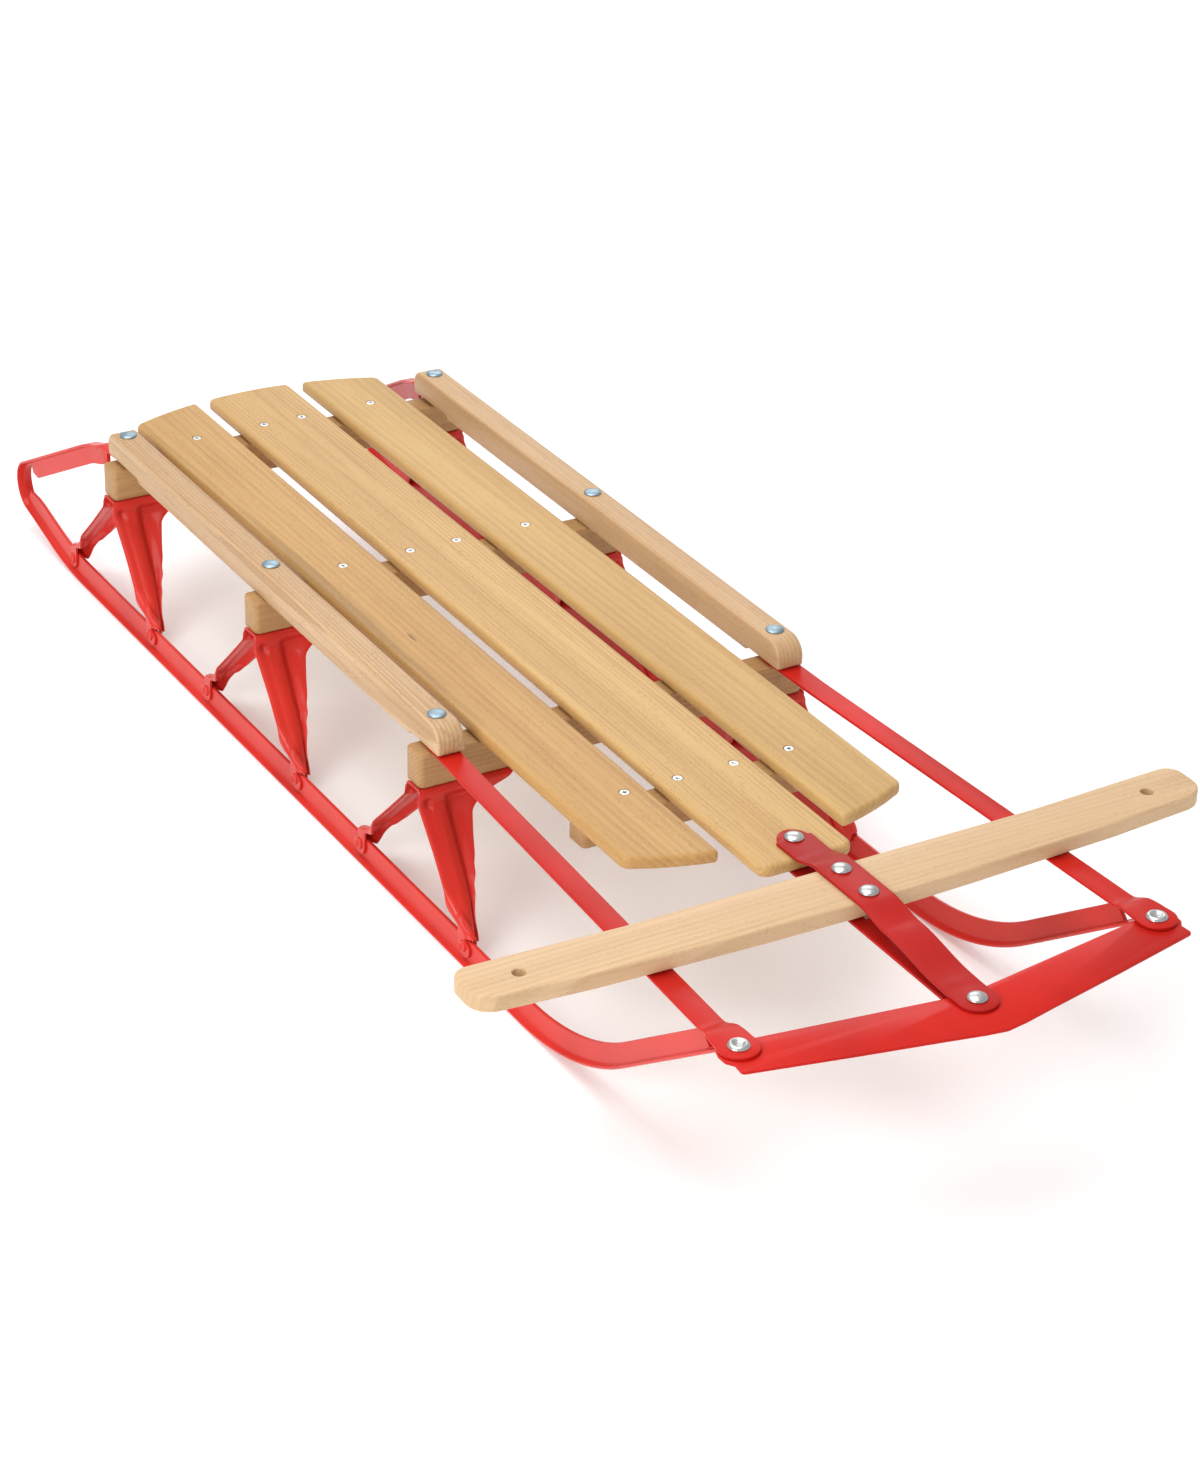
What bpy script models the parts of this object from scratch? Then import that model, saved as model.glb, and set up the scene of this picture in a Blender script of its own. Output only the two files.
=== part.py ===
"""Steerable wooden sled on two steel runners.

+X points forward, +Y to the rider's left and +Z up. The origin is on the ground, under the middle
of the sled's length. All sizes are in metres. Mirrored pieces are made by loops over SIDES.
"""
import math

import bmesh
import bpy

# Gaps and clearances
GAP = 0.0003
SLIDE = 0.0009
SIDES = {"left": 1, "right": -1}

# Deck levels
SLAT_TOP = 0.1365
SLAT_THICK = 0.010
BENCH_TOP = SLAT_TOP - SLAT_THICK
BENCH_TALL = 0.0265
BENCH_BASE = BENCH_TOP - BENCH_TALL
RAIL_TOP = 0.1503

# Benches, from the back to the front
FRONT_BENCH_X = 0.1161
BENCH_PITCH = 0.267
BENCHES = {
    "rear": FRONT_BENCH_X - 2 * BENCH_PITCH,
    "middle": FRONT_BENCH_X - BENCH_PITCH,
    "front": FRONT_BENCH_X,
}
BENCH_WIDE = 0.022
BENCH_REACH = 0.158
BENCH_ROUND = 0.0045
CLEAT_X = 0.2507
CLEAT_TALL = 0.020
CLEAT_REACH = 0.104

# Slats
DECK_Y = -0.0015
MIDDLE_HALF = 0.0366
SIDE_INNER, SIDE_OUTER = 0.0483, 0.1105
REAR_ARC, REAR_APEX_X = 0.273, -0.4890
FRONT_ARC, FRONT_ARC_CENTRE_X = 0.240, 0.1151
MIDDLE_FRONT_X = 0.3811
SLAT_EDGE = 0.0034

# Rails
RAIL_Y = 0.139
RAIL_HALF = 0.011
RAIL_BEHIND, RAIL_AHEAD = 0.017, 0.0232
RAIL_NOTCH = 0.042

# Sheet and bar stock
STRAP_THICK = 0.0022
STRAP_HALF = 0.0090
STRAP_FALL = 0.0008
LINK_HALF = 0.0138
RUNNER_Y = 0.1585
FLANGE_HALF = 0.0065
FLANGE_THICK = 0.003
FLANGE_EDGE = 0.0018
RIDGE = 0.0001
WEB_HALF = 0.0015
WEB_TALL = 0.019
WEB_TALL_FRONT = 0.0162
KNEE_SHEET = 0.0016

# Steering
PIVOT_X = 0.3603
HANDLE_BOLTS = {"rear": 0.4169, "front": 0.4490}
RIVET_X = 0.5464
RIVET_Y = 0.1585
CENTRE_BOLT_X = 0.5713
BUMPER_TOP = 0.1301
BUMPER_THICK = 0.0022
HANDLE_BASE, HANDLE_TOP = 0.1298, 0.1420
HANDLE_REACH = 0.2815
ROPE_HOLE_X, ROPE_HOLE_Y, ROPE_HOLE_R = 0.4242, 0.2431, 0.0045
LINK_LOW = 0.1250
FLEX_X = 0.250
FLEX_GAP = 0.0015

# Runner path, seen from the side
SWEEP_START_X, SWEEP_R, SWEEP_ANGLE = 0.2832, 0.240, math.radians(35)
WEB_FRONT_X = 0.5164
TAIL_ANGLE, TAIL_R, TAIL_FOOT_X = math.radians(12), 0.310, -0.4981
LOOP_R, LOOP_X, LOOP_Z = 0.0224, -0.5834, 0.0411
ARM_ANGLE = math.radians(26.1)
ARM_BEND_R = 0.025

# Fasteners: shank and head radii
BOLT_R, BOLT_HEAD = 0.0031, 0.0068
RIVET_R, RIVET_HEAD = 0.0034, 0.0072
SCREW_R, SCREW_HEAD = 0.0018, 0.0036
FOOT_RIVET_R, FOOT_RIVET_HEAD = 0.0022, 0.0042
NUT_R, NUT_TALL = 0.0054, 0.0045
SIDES_ROUND = 10

# Knees: half a knee, from the middle of its saddle to one foot
FOOT_X = 0.0797
FOOT_Z = 0.0145
FOOT_R = 0.0080
KNEE_SHIFT = 0.003
KNEE_OUT = 0.1600
TAB_Y = RUNNER_Y + WEB_HALF + GAP + KNEE_SHEET / 2


# Helpers

def paint(name, colour, roughness, metallic=0.0):
    """A Principled material of one plain colour."""
    material = bpy.data.materials.new(name)
    material.use_nodes = True
    shader = material.node_tree.nodes["Principled BSDF"]
    shader.inputs["Base Color"].default_value = (*colour, 1.0)
    shader.inputs["Roughness"].default_value = roughness
    shader.inputs["Metallic"].default_value = metallic
    return material


def solid(name, points, faces, look, origin=(0.0, 0.0, 0.0)):
    """One object from points in world space, its own origin at the given place."""
    mesh = bpy.data.meshes.new(name)
    near = [tuple(p[i] - origin[i] for i in range(3)) for p in points]
    mesh.from_pydata(near, [], faces)
    edit = bmesh.new()
    edit.from_mesh(mesh)
    bmesh.ops.remove_doubles(edit, verts=edit.verts, dist=1e-6)
    bmesh.ops.recalc_face_normals(edit, faces=edit.faces)
    edit.to_mesh(mesh)
    edit.free()
    mesh.shade_smooth()
    mesh.set_sharp_from_angle(angle=math.radians(35))
    made = bpy.data.objects.new(name, mesh)
    made.location = origin
    if look is not None:
        made.data.materials.append(look)
    bpy.context.collection.objects.link(made)
    return made


def fillet(corners, steps=3):
    """A closed outline from (x, y, radius) corners, each round one as an arc of steps chords."""
    outline = []
    count = len(corners)
    for i, (x, y, radius) in enumerate(corners):
        if not radius:
            outline.append((x, y))
            continue
        before, after = corners[i - 1], corners[(i + 1) % count]
        to_before = math.atan2(before[1] - y, before[0] - x)
        to_after = math.atan2(after[1] - y, after[0] - x)
        turn = (to_after - to_before + math.pi) % (2 * math.pi) - math.pi
        half = abs(turn) / 2
        middle = to_before + turn / 2
        reach = radius / math.sin(half)
        cx, cy = x + reach * math.cos(middle), y + reach * math.sin(middle)
        start = to_before - math.copysign(math.pi / 2, turn)
        sweep = -math.copysign(math.pi - 2 * half, turn)
        for k in range(steps + 1):
            angle = start + sweep * k / steps
            outline.append((cx + radius * math.cos(angle), cy + radius * math.sin(angle)))
    return outline


def prism(name, outline, low, high, look, place=lambda a, b, c: (a, b, c), origin=(0, 0, 0)):
    """A flat outline pushed from low to high; place turns (outline x, outline y, height) to world."""
    count = len(outline)
    points = [place(x, y, h) for h in (low, high) for x, y in outline]
    faces = [tuple(range(count)), tuple(range(count, 2 * count))]
    for i in range(count):
        j = (i + 1) % count
        faces.append((i, j, j + count, i + count))
    return solid(name, points, faces, look, origin)


def turned(name, profile, place, look, sides=SIDES_ROUND, origin=(0, 0, 0)):
    """A round solid: profile is (radius, height) up its axis, place turns (a, b, height) to world."""
    points, rings = [], []
    for radius, height in profile:
        if radius:
            start = len(points)
            rings.append([start + k for k in range(sides)])
            for k in range(sides):
                angle = 2 * math.pi * (k + 0.5) / sides
                points.append(place(radius * math.cos(angle), radius * math.sin(angle), height))
        else:
            rings.append([len(points)])
            points.append(place(0.0, 0.0, height))
    faces = []
    for lower, upper in zip(rings, rings[1:]):
        for k in range(sides):
            m = (k + 1) % sides
            if len(lower) == 1:
                faces.append((lower[0], upper[k], upper[m]))
            elif len(upper) == 1:
                faces.append((lower[k], lower[m], upper[0]))
            else:
                faces.append((lower[k], lower[m], upper[m], upper[k]))
    for ring in (rings[0], rings[-1]):
        if len(ring) > 1:
            faces.append(tuple(ring))
    return solid(name, points, faces, look, origin)


def upright(x, y):
    """Places a turned piece's axis along +Z at (x, y)."""
    return lambda a, b, h: (x + a, y + b, h)


def outward(x, z, side):
    """Places a turned piece's axis along Y, its height growing away from the sled's middle."""
    return lambda a, b, h: (x + a, side * h, z + b)


def cutter(name, made):
    made.name = name
    made.hide_render = True
    made.display_type = "WIRE"
    return made


def cut(piece, tool, operation="DIFFERENCE"):
    change = piece.modifiers.new(tool.name, "BOOLEAN")
    change.operation = operation
    change.object = tool
    change.solver = "EXACT"


def drill(name, x, y, low, high, radius, stretch=0.0):
    """An upright hole cutter. A stretch makes it a slot along X, that much longer each way."""
    outline = []
    turn = 0.0 if stretch else 0.5
    for k in range(SIDES_ROUND):
        angle = 2 * math.pi * (k + turn) / SIDES_ROUND
        shift = math.copysign(stretch, math.cos(angle))
        outline.append((x + radius * math.cos(angle) + shift, y + radius * math.sin(angle)))
    return cutter(name, prism(name, outline, low, high, None))


def round_edges(piece, width, segments=2):
    edge = piece.modifiers.new("edges", "BEVEL")
    edge.width = width
    edge.segments = segments
    edge.limit_method = "ANGLE"
    edge.angle_limit = math.radians(50)


def strip(name, stations, thick, look, origin=(0, 0, 0)):
    """A flat bar: each station is (x, y, z at mid thickness, half width, across unit vector)."""
    points, faces = [], []
    for x, y, z, half, (ax, ay) in stations:
        for side, level in ((1, 1), (-1, 1), (-1, -1), (1, -1)):
            points.append((x + side * half * ax, y + side * half * ay, z + level * thick / 2))
    for i in range(len(stations) - 1):
        for k in range(4):
            m = (k + 1) % 4
            faces.append((4 * i + k, 4 * i + m, 4 * i + 4 + m, 4 * i + 4 + k))
    last = 4 * (len(stations) - 1)
    faces.append((0, 1, 2, 3))
    faces.append((last, last + 1, last + 2, last + 3))
    return solid(name, points, faces, look, origin)


def lobed(start, end, z_at, half_at, end_r, steps=4):
    """Stations of a bar from start to end in plan, with a round lobe of end_r past each point."""
    length = math.dist(start, end)
    ux, uy = (end[0] - start[0]) / length, (end[1] - start[1]) / length
    stations = []

    def add(along, half):
        spot = (start[0] + ux * along, start[1] + uy * along)
        stations.append((*spot, z_at(along), half, (-uy, ux)))

    for k in range(steps):
        angle = math.pi / 2 * (k + 0.35) / (steps + 0.35)
        add(-end_r[0] * math.cos(angle), end_r[0] * math.sin(angle))
    for along, half in half_at:
        add(along, half)
    for k in reversed(range(steps)):
        angle = math.pi / 2 * (k + 0.35) / (steps + 0.35)
        add(length + end_r[1] * math.cos(angle), end_r[1] * math.sin(angle))
    return stations


def steps_between(a, b, t):
    return a + (b - a) * t


def graded(table, at):
    """Straight-line reading of a falling table of (key, value) pairs."""
    for (k0, v0), (k1, v1) in zip(table, table[1:]):
        if at >= k1:
            return steps_between(v0, v1, (at - k0) / (k1 - k0))
    return table[-1][1]


# Deck

def slat_outlines():
    """Plan outlines of the middle and the left slat. Their back ends lie on one wide arc."""
    def rear_x(y):
        return REAR_APEX_X + REAR_ARC - math.sqrt(REAR_ARC**2 - y**2)

    def front_x(y):
        return FRONT_ARC_CENTRE_X + math.sqrt(FRONT_ARC**2 - y**2)

    m = MIDDLE_HALF
    middle = fillet([
        (MIDDLE_FRONT_X, -m, 0.009),
        (MIDDLE_FRONT_X, m, 0.009),
        (rear_x(m), m, 0.006),
        (rear_x(0), 0, 0),
        (rear_x(m), -m, 0.006),
    ])
    a, b = SIDE_INNER, SIDE_OUTER
    c = (a + b) / 2
    side = fillet([
        (front_x(a), a, 0.004),
        (front_x(c), c, 0),
        (front_x(b), b, 0.009),
        (rear_x(b), b, 0.007),
        (rear_x(c), c, 0),
        (rear_x(a), a, 0.004),
    ])
    return middle, side


def make_slats(wood):
    middle, side = slat_outlines()
    outline = [(x, DECK_Y + y) for x, y in middle]
    slats = {"middle": prism("middle_slat", outline, BENCH_TOP + GAP, SLAT_TOP, wood)}
    for name, s in SIDES.items():
        outline = [(x, DECK_Y + s * y) for x, y in side]
        slats[name] = prism(name + "_slat", outline, BENCH_TOP + GAP, SLAT_TOP, wood)
    for slat in slats.values():
        round_edges(slat, SLAT_EDGE)
    return slats


def beam_outline(x, reach):
    h = BENCH_WIDE / 2
    r = BENCH_ROUND
    return fillet([(x - h, -reach, r), (x + h, -reach, r), (x + h, reach, r), (x - h, reach, r)], 3)


def make_beams(wood):
    beams = {}
    for name, x in BENCHES.items():
        beams[name] = prism(name + "_bench", beam_outline(x, BENCH_REACH), BENCH_BASE, BENCH_TOP, wood)
    cleat = beam_outline(CLEAT_X, CLEAT_REACH)
    beams["cleat"] = prism("front_cleat", cleat, BENCH_TOP - CLEAT_TALL, BENCH_TOP, wood)
    for beam in beams.values():
        round_edges(beam, 0.0018, 1)
    return beams


def make_rails(wood):
    """Rails stand on the middle bench. A notch at each end takes the strap or the runner's end."""
    back, front = BENCHES["rear"] - RAIL_BEHIND, BENCHES["front"] + RAIL_AHEAD
    base = BENCH_TOP + GAP
    rear_notch = base + FLANGE_THICK + GAP
    front_notch = base + STRAP_THICK + GAP
    outline = fillet([
        (back, rear_notch, 0.003),
        (BENCHES["rear"] + RAIL_NOTCH, rear_notch, 0),
        (BENCHES["rear"] + RAIL_NOTCH, base, 0),
        (BENCHES["front"] - RAIL_NOTCH / 2, base, 0),
        (BENCHES["front"] - RAIL_NOTCH / 2, front_notch, 0),
        (front, front_notch, 0.002),
        (front, RAIL_TOP, 0.014),
        (back, RAIL_TOP, 0.010),
    ], 5)
    rails = {}
    for name, s in SIDES.items():
        y = s * RAIL_Y
        side_on = lambda a, b, h, y=y: (a, y + h, b)
        rails[name] = prism(name + "_rail", outline, -RAIL_HALF, RAIL_HALF, wood, side_on)
        round_edges(rails[name], 0.0022, 2)
    return rails


# Runners

def runner_path():
    """The sole line of a runner, back end to front end: (x, z, y inset, web height) stations.

    The back end is a strip on the rear bench. It drops along the arm, turns through the loop, runs
    down the tail to the ground, along it, and up the front sweep to the strip under the bumper.
    """
    strip_top = BENCH_TOP + GAP + FLANGE_THICK
    loop_in = LOOP_X + LOOP_R * math.cos(math.pi / 2 + ARM_ANGLE)
    loop_in_z = LOOP_Z + LOOP_R * math.sin(math.pi / 2 + ARM_ANGLE)
    corner = loop_in + (strip_top - loop_in_z) / math.tan(ARM_ANGLE)
    tangent = ARM_BEND_R * math.tan(ARM_ANGLE / 2)
    low = 0.0006
    path = [(BENCHES["rear"] + 0.014, strip_top, 0.0), (corner + tangent + 0.004, strip_top, 0.0)]
    centre_z = strip_top - ARM_BEND_R
    for k in range(4):
        angle = math.pi / 2 + ARM_ANGLE * k / 3
        path.append((corner + tangent + ARM_BEND_R * math.cos(angle),
                     centre_z + ARM_BEND_R * math.sin(angle), low if k < 1 else WEB_TALL - 0.002))
    arm_end = steps_between(corner, loop_in, 0.93), steps_between(strip_top, loop_in_z, 0.93)
    path.append((*arm_end, WEB_TALL - 0.002))
    path.append((arm_end[0] - 0.0006, arm_end[1] - 0.0006 * math.tan(ARM_ANGLE), low))
    turn = math.pi - ARM_ANGLE - TAIL_ANGLE
    for k in range(9):
        angle = math.pi / 2 + ARM_ANGLE + turn * k / 8
        path.append((LOOP_X + LOOP_R * math.cos(angle), LOOP_Z + LOOP_R * math.sin(angle), low))
    x, z = path[-1][0], path[-1][1]
    for along, tall in ((0.012, low), (0.0126, WEB_TALL - 0.003), (0.022, WEB_TALL)):
        path.append((x + along * math.cos(TAIL_ANGLE), z - along * math.sin(TAIL_ANGLE), tall))
    touch = TAIL_FOOT_X + TAIL_R * math.tan(TAIL_ANGLE / 2)
    for k in range(4, -1, -1):
        angle = TAIL_ANGLE * k / 4
        path.append((touch - TAIL_R * math.sin(angle), TAIL_R * (1 - math.cos(angle)), WEB_TALL))
    split = len(path)
    for k in range(8):
        angle = SWEEP_ANGLE * k / 7
        path.append((SWEEP_START_X + SWEEP_R * math.sin(angle), SWEEP_R * (1 - math.cos(angle)),
                     steps_between(WEB_TALL, WEB_TALL_FRONT, k / 7)))
    x, z = path[-1][0], path[-1][1]
    rise = math.tan(SWEEP_ANGLE)
    path.append((WEB_FRONT_X, z + (WEB_FRONT_X - x) * rise, WEB_TALL_FRONT))
    path.append((WEB_FRONT_X + 0.0006, z + (WEB_FRONT_X + 0.0006 - x) * rise, low))
    strip_z = BUMPER_TOP - BUMPER_THICK - GAP - FLANGE_THICK
    corner = x + (strip_z - z) / rise
    tangent = 0.012 * math.tan(SWEEP_ANGLE / 2)
    for k in range(4):
        angle = SWEEP_ANGLE * (1 - k / 3)
        path.append((corner + tangent - 0.012 * math.sin(angle), strip_z - 0.012 * (1 - math.cos(angle)),
                     low))
    path.append((RIVET_X + 0.011, strip_z, low))
    return path, split


def inset(x, z):
    """How far the arm behind the loop leans in from the runner's plane, on its way to the rail."""
    if z < LOOP_Z or x > 0:
        return 0.0
    return (RUNNER_Y - RAIL_Y) * min(1.0, max(0.0, (x - LOOP_X) / (BENCHES["rear"] - LOOP_X)))


def runner_bar(name, stations, side, look, origin=(0, 0, 0)):
    """Sweeps the upside-down T section along the sole line."""
    points, faces = [], []
    count = len(stations)
    for i, (x, z, tall) in enumerate(stations):
        ax, az = stations[max(i - 1, 0)][:2]
        bx, bz = stations[min(i + 1, count - 1)][:2]
        length = math.hypot(bx - ax, bz - az)
        nx, nz = -(bz - az) / length, (bx - ax) / length
        y = RUNNER_Y - inset(x, z)
        section = [
            (-FLANGE_HALF, 0), (FLANGE_HALF, 0), (FLANGE_HALF, FLANGE_EDGE),
            (WEB_HALF, FLANGE_THICK), (WEB_HALF, FLANGE_THICK + max(tall - FLANGE_THICK, RIDGE)),
            (-WEB_HALF, FLANGE_THICK + max(tall - FLANGE_THICK, RIDGE)), (-WEB_HALF, FLANGE_THICK),
            (-FLANGE_HALF, FLANGE_EDGE),
        ]
        for across, up in section:
            points.append((x + nx * up, side * (y + across), z + nz * up))
    size = 8
    for i in range(count - 1):
        for k in range(size):
            m = (k + 1) % size
            faces.append((size * i + k, size * i + m, size * (i + 1) + m, size * (i + 1) + k))
    faces.append(tuple(range(size)))
    faces.append(tuple(range(size * (count - 1), size * count)))
    return solid(name, points, faces, look, origin)


def make_runners(red):
    path, split = runner_path()
    bars = {}
    for name, s in SIDES.items():
        back = path[:split] + [(FLEX_X - FLEX_GAP / 2, 0.0, WEB_TALL)]
        front = [(FLEX_X + FLEX_GAP / 2, 0.0, WEB_TALL)] + path[split:]
        bars[name, "rear"] = runner_bar(name + "_runner_rear", back, s, red)
        pivot = (FLEX_X, s * RUNNER_Y, 0.0)
        bars[name, "front"] = runner_bar(name + "_runner_front", front, s, red, pivot)
    return bars


# Knees

LEG_INNER = ((0.0989, 0.087), (0.0965, 0.088), (0.0870, 0.1190), (0.0845, 0.1240),
             (0.0434, 0.1420), (0.0245, 0.1530))
LEG_LEFT = ((0.0989, 0.0100), (0.0340, 0.0530), (0.0300, 0.0620), (0.0270, 0.0700), (0.0245, 0.0720))


def leg_row(z):
    """Eight points across a knee's leg at one height: side flange, round bead, valley, inner face."""
    face = min(0.0104 + 1.02 * (0.0989 - z), FOOT_X + 0.0085)
    left = min(graded(LEG_LEFT, z), face - 0.0015)
    inner = graded(LEG_INNER, z)
    down = (0.0989 - z) / (0.0989 - 0.0245)
    outer = steps_between(KNEE_OUT, TAB_Y, down)
    wide = outer - inner
    bead = min(0.30 * wide + 0.003, 0.015)
    dip = 0.0042 * math.sin(math.pi * min(1.0, 0.12 + down)) * min(1.0, wide / 0.014)
    r = min(0.0065, bead * 0.5)
    return [
        (left, outer),
        (max(left + 0.0005, face - r), outer),
        (face - 0.3 * r, outer - 0.3 * r),
        (face, outer - r),
        (face - 0.25 * dip, outer - 0.8 * bead),
        (face - dip, outer - 1.15 * bead),
        (face - dip, inner),
    ]


def knee_rows():
    """Half a knee as rows of mid-sheet points (x from its middle, distance from the sled's middle, z)."""
    top = BENCH_BASE - GAP - KNEE_SHEET / 2
    plate = (KNEE_OUT - 0.001, 0.1555, 0.151, 0.146, 0.141, 0.128, 0.087)
    rows = [[(x, y, top) for y in plate] for x in (0.0, 0.0090)]
    for z in (0.0955, 0.0870, 0.0840, 0.0690, 0.0500, 0.0340, 0.0285, 0.0255):
        rows.append([(x, y, z) for x, y in leg_row(z)])
    count = len(plate)
    tab = ((0.0218, FOOT_R), (FOOT_Z - 0.0015, FOOT_R), (0.0080, 0.0062), (0.0052, 0.0028))
    for z, half in tab:
        rows.append([
            (FOOT_X + 0.001 + half * (2 * k / (count - 1) - 1), TAB_Y, z) for k in range(count)
        ])
    return rows


def sheet(name, rows, thick, place, look):
    """A closed solid of even thickness around a grid of mid-sheet points."""
    high, wide = len(rows), len(rows[0])

    def normal(i, j):
        a, b = rows[max(i - 1, 0)][j], rows[min(i + 1, high - 1)][j]
        c, d = rows[i][max(j - 1, 0)], rows[i][min(j + 1, wide - 1)]
        p = [b[k] - a[k] for k in range(3)]
        q = [d[k] - c[k] for k in range(3)]
        n = (p[1] * q[2] - p[2] * q[1], p[2] * q[0] - p[0] * q[2], p[0] * q[1] - p[1] * q[0])
        length = math.sqrt(sum(v * v for v in n))
        return [v / length for v in n]

    points = []
    for level in (0.5, -0.5):
        for i in range(high):
            for j in range(wide):
                n = normal(i, j)
                spot = [rows[i][j][k] + level * thick * n[k] for k in range(3)]
                points.append(place(*spot))
    under = high * wide
    faces = []
    for i in range(high - 1):
        for j in range(wide - 1):
            a = i * wide + j
            quad = (a, a + 1, a + wide + 1, a + wide)
            faces.append(quad)
            faces.append(tuple(v + under for v in reversed(quad)))
    rim = [j for j in range(wide)]
    rim += [i * wide + wide - 1 for i in range(1, high)]
    rim += [(high - 1) * wide + j for j in range(wide - 2, -1, -1)]
    rim += [i * wide for i in range(high - 2, 0, -1)]
    for a, b in zip(rim, rim[1:] + rim[:1]):
        faces.append((b, a, a + under, b + under))
    return solid(name, points, faces, look)


def foot_rivet(name, x, side):
    """A formed rivet through the knee's tab and the runner's web."""
    outer = TAB_Y + KNEE_SHEET / 2
    inner = RUNNER_Y - WEB_HALF - GAP
    profile = [
        (FOOT_RIVET_HEAD * 0.8, inner - 0.0012), (FOOT_RIVET_HEAD, inner),
        (FOOT_RIVET_R, inner), (FOOT_RIVET_R, outer - 0.0004), (FOOT_RIVET_HEAD, outer - 0.0004),
        (FOOT_RIVET_HEAD * 0.8, outer + 0.0012),
    ]
    return cutter(name, turned(name, profile, outward(x, FOOT_Z, side), None, 8))


def make_knees(red, bars):
    half = knee_rows()
    rows = [[(-x, y, z) for x, y, z in row] for row in reversed(half[1:])] + half
    knees = {}
    for bench, x0 in BENCHES.items():
        for name, s in SIDES.items():
            x1 = x0 + KNEE_SHIFT
            place = lambda x, y, z, x1=x1, s=s: (x1 + x, s * y, z)
            knee = sheet(f"knee_{bench}_{name}", rows, KNEE_SHEET, place, red)
            for end in (-1, 1):
                foot = x1 + end * FOOT_X
                label = f"{bench}_{name}_{'front' if end > 0 else 'back'}"
                cut(knee, foot_rivet("rivet_" + label, foot, s), "UNION")
                hole = [(FOOT_RIVET_R + GAP, RUNNER_Y - 0.004), (FOOT_RIVET_R + GAP, RUNNER_Y + 0.004)]
                tool = turned("hole_" + label, hole, outward(foot, FOOT_Z, s), None, 8)
                cut(bars[name, "rear"], cutter("hole_" + label, tool))
            knees[bench, name] = knee
    return knees


# Steering

def make_straps(red):
    """Each strap lies on the front bench, falls a little, and steps up over the bumper's end."""
    rear_z = BENCH_TOP + GAP + STRAP_THICK / 2
    low_z = rear_z - STRAP_FALL
    end_z = BUMPER_TOP + GAP + STRAP_THICK / 2
    straps = {}
    for name, s in SIDES.items():
        start, end = (FRONT_BENCH_X, s * RAIL_Y), (RIVET_X, s * RIVET_Y)
        length = math.dist(start, end)
        knots = ((length, end_z), (length - 0.022, end_z), (length - 0.034, low_z), (0.02, rear_z),
                 (-1.0, rear_z))
        widths = [(0.0, STRAP_HALF), (0.02, STRAP_HALF), (length - 0.034, STRAP_HALF),
                  (length - 0.022, 0.0105), (length - 0.010, 0.0128), (length, 0.0138)]
        stations = lobed(start, end, lambda a, k=knots: graded(k, min(a, k[0][0])), widths,
                         (STRAP_HALF, 0.0138))
        origin = (start[0], start[1], rear_z)
        straps[name] = strip(name + "_strap", stations, STRAP_THICK, red, origin)
    return straps


def bumper_outline():
    """A shallow V, its wide middle to the front, with a round lobe at each rivet."""
    half = [
        (0.5391, 0.1500, 0), (0.5342, 0.1520, 0), (0.5325, 0.1585, 0), (0.5342, 0.1655, 0),
        (0.5397, 0.1712, 0), (0.5464, 0.1732, 0), (0.5542, 0.1728, 0), (0.5592, 0.1692, 0),
        (0.5692, 0.1700, 0.003), (0.5850, 0.1000, 0), (0.5978, 0.0400, 0), (0.6034, 0.0150, 0),
    ]
    right = [(x, -y, r) for x, y, r in reversed(half)]
    return fillet(half + [(0.6057, 0.0, 0)] + right + [(0.5610, 0.0, 0)], 3)


def make_bumper(red):
    origin = (RIVET_X, RIVET_Y, BUMPER_TOP)
    low = BUMPER_TOP - BUMPER_THICK
    return prism("bumper", bumper_outline(), low, BUMPER_TOP, red, origin=origin)


def make_handlebar(wood):
    half = [
        (0.4074, 0.0, 0), (0.4069, 0.160, 0), (0.4029, 0.2400, 0), (0.4014, HANDLE_REACH, 0.012),
        (0.4409, HANDLE_REACH, 0.017), (0.4479, 0.200, 0), (0.4529, 0.080, 0), (0.4544, 0.0, 0),
    ]
    left = [(x, -y, r) for x, y, r in reversed(half[1:-1])]
    outline = fillet(half + left, 5)
    bar = prism("handlebar", outline, HANDLE_BASE, HANDLE_TOP, wood, origin=(PIVOT_X, 0, HANDLE_BASE))
    round_edges(bar, 0.0016, 1)
    return bar


def make_links(red):
    """The top link lies on the slat, steps over the handlebar and falls to the bumper."""
    on_slat = SLAT_TOP + GAP + STRAP_THICK / 2
    on_handle = HANDLE_TOP + GAP + STRAP_THICK / 2
    on_bumper = BUMPER_TOP + GAP + STRAP_THICK / 2
    length = CENTRE_BOLT_X - PIVOT_X
    knots = ((length, on_bumper), (length - 0.016, on_bumper), (0.105, on_handle), (0.046, on_handle),
             (0.024, on_slat), (-1.0, on_slat))
    widths = [(0.0, 0.0140), (0.010, 0.0140), (0.024, LINK_HALF), (0.046, LINK_HALF),
              (0.105, LINK_HALF), (length - 0.016, 0.0140), (length, 0.0140)]
    start, end = (PIVOT_X, 0.0), (CENTRE_BOLT_X, 0.0)
    stations = lobed(start, end, lambda a: graded(knots, min(a, length)), widths, (0.0115, 0.0140))
    top = strip("top_link", stations, STRAP_THICK, red, (PIVOT_X, 0, on_slat))
    flat = lobed(start, end, lambda a: LINK_LOW, [(0.0, 0.0130), (length, 0.0130)], (0.013, 0.013))
    bottom = strip("bottom_link", flat, STRAP_THICK, red, (PIVOT_X, 0, LINK_LOW))
    return top, bottom


# Fasteners

def domed(name, x, y, seat, foot, radius, head, look, origin=(0, 0, 0)):
    """A dome-headed bolt: its head sits GAP above seat and its shank ends at foot."""
    base = seat + GAP
    profile = [
        (radius, foot), (radius, base), (head, base), (head * 0.85, base + 0.0015),
        (0, base + 0.0024),
    ]
    return turned(name, profile, upright(x, y), look, origin=origin)


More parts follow.
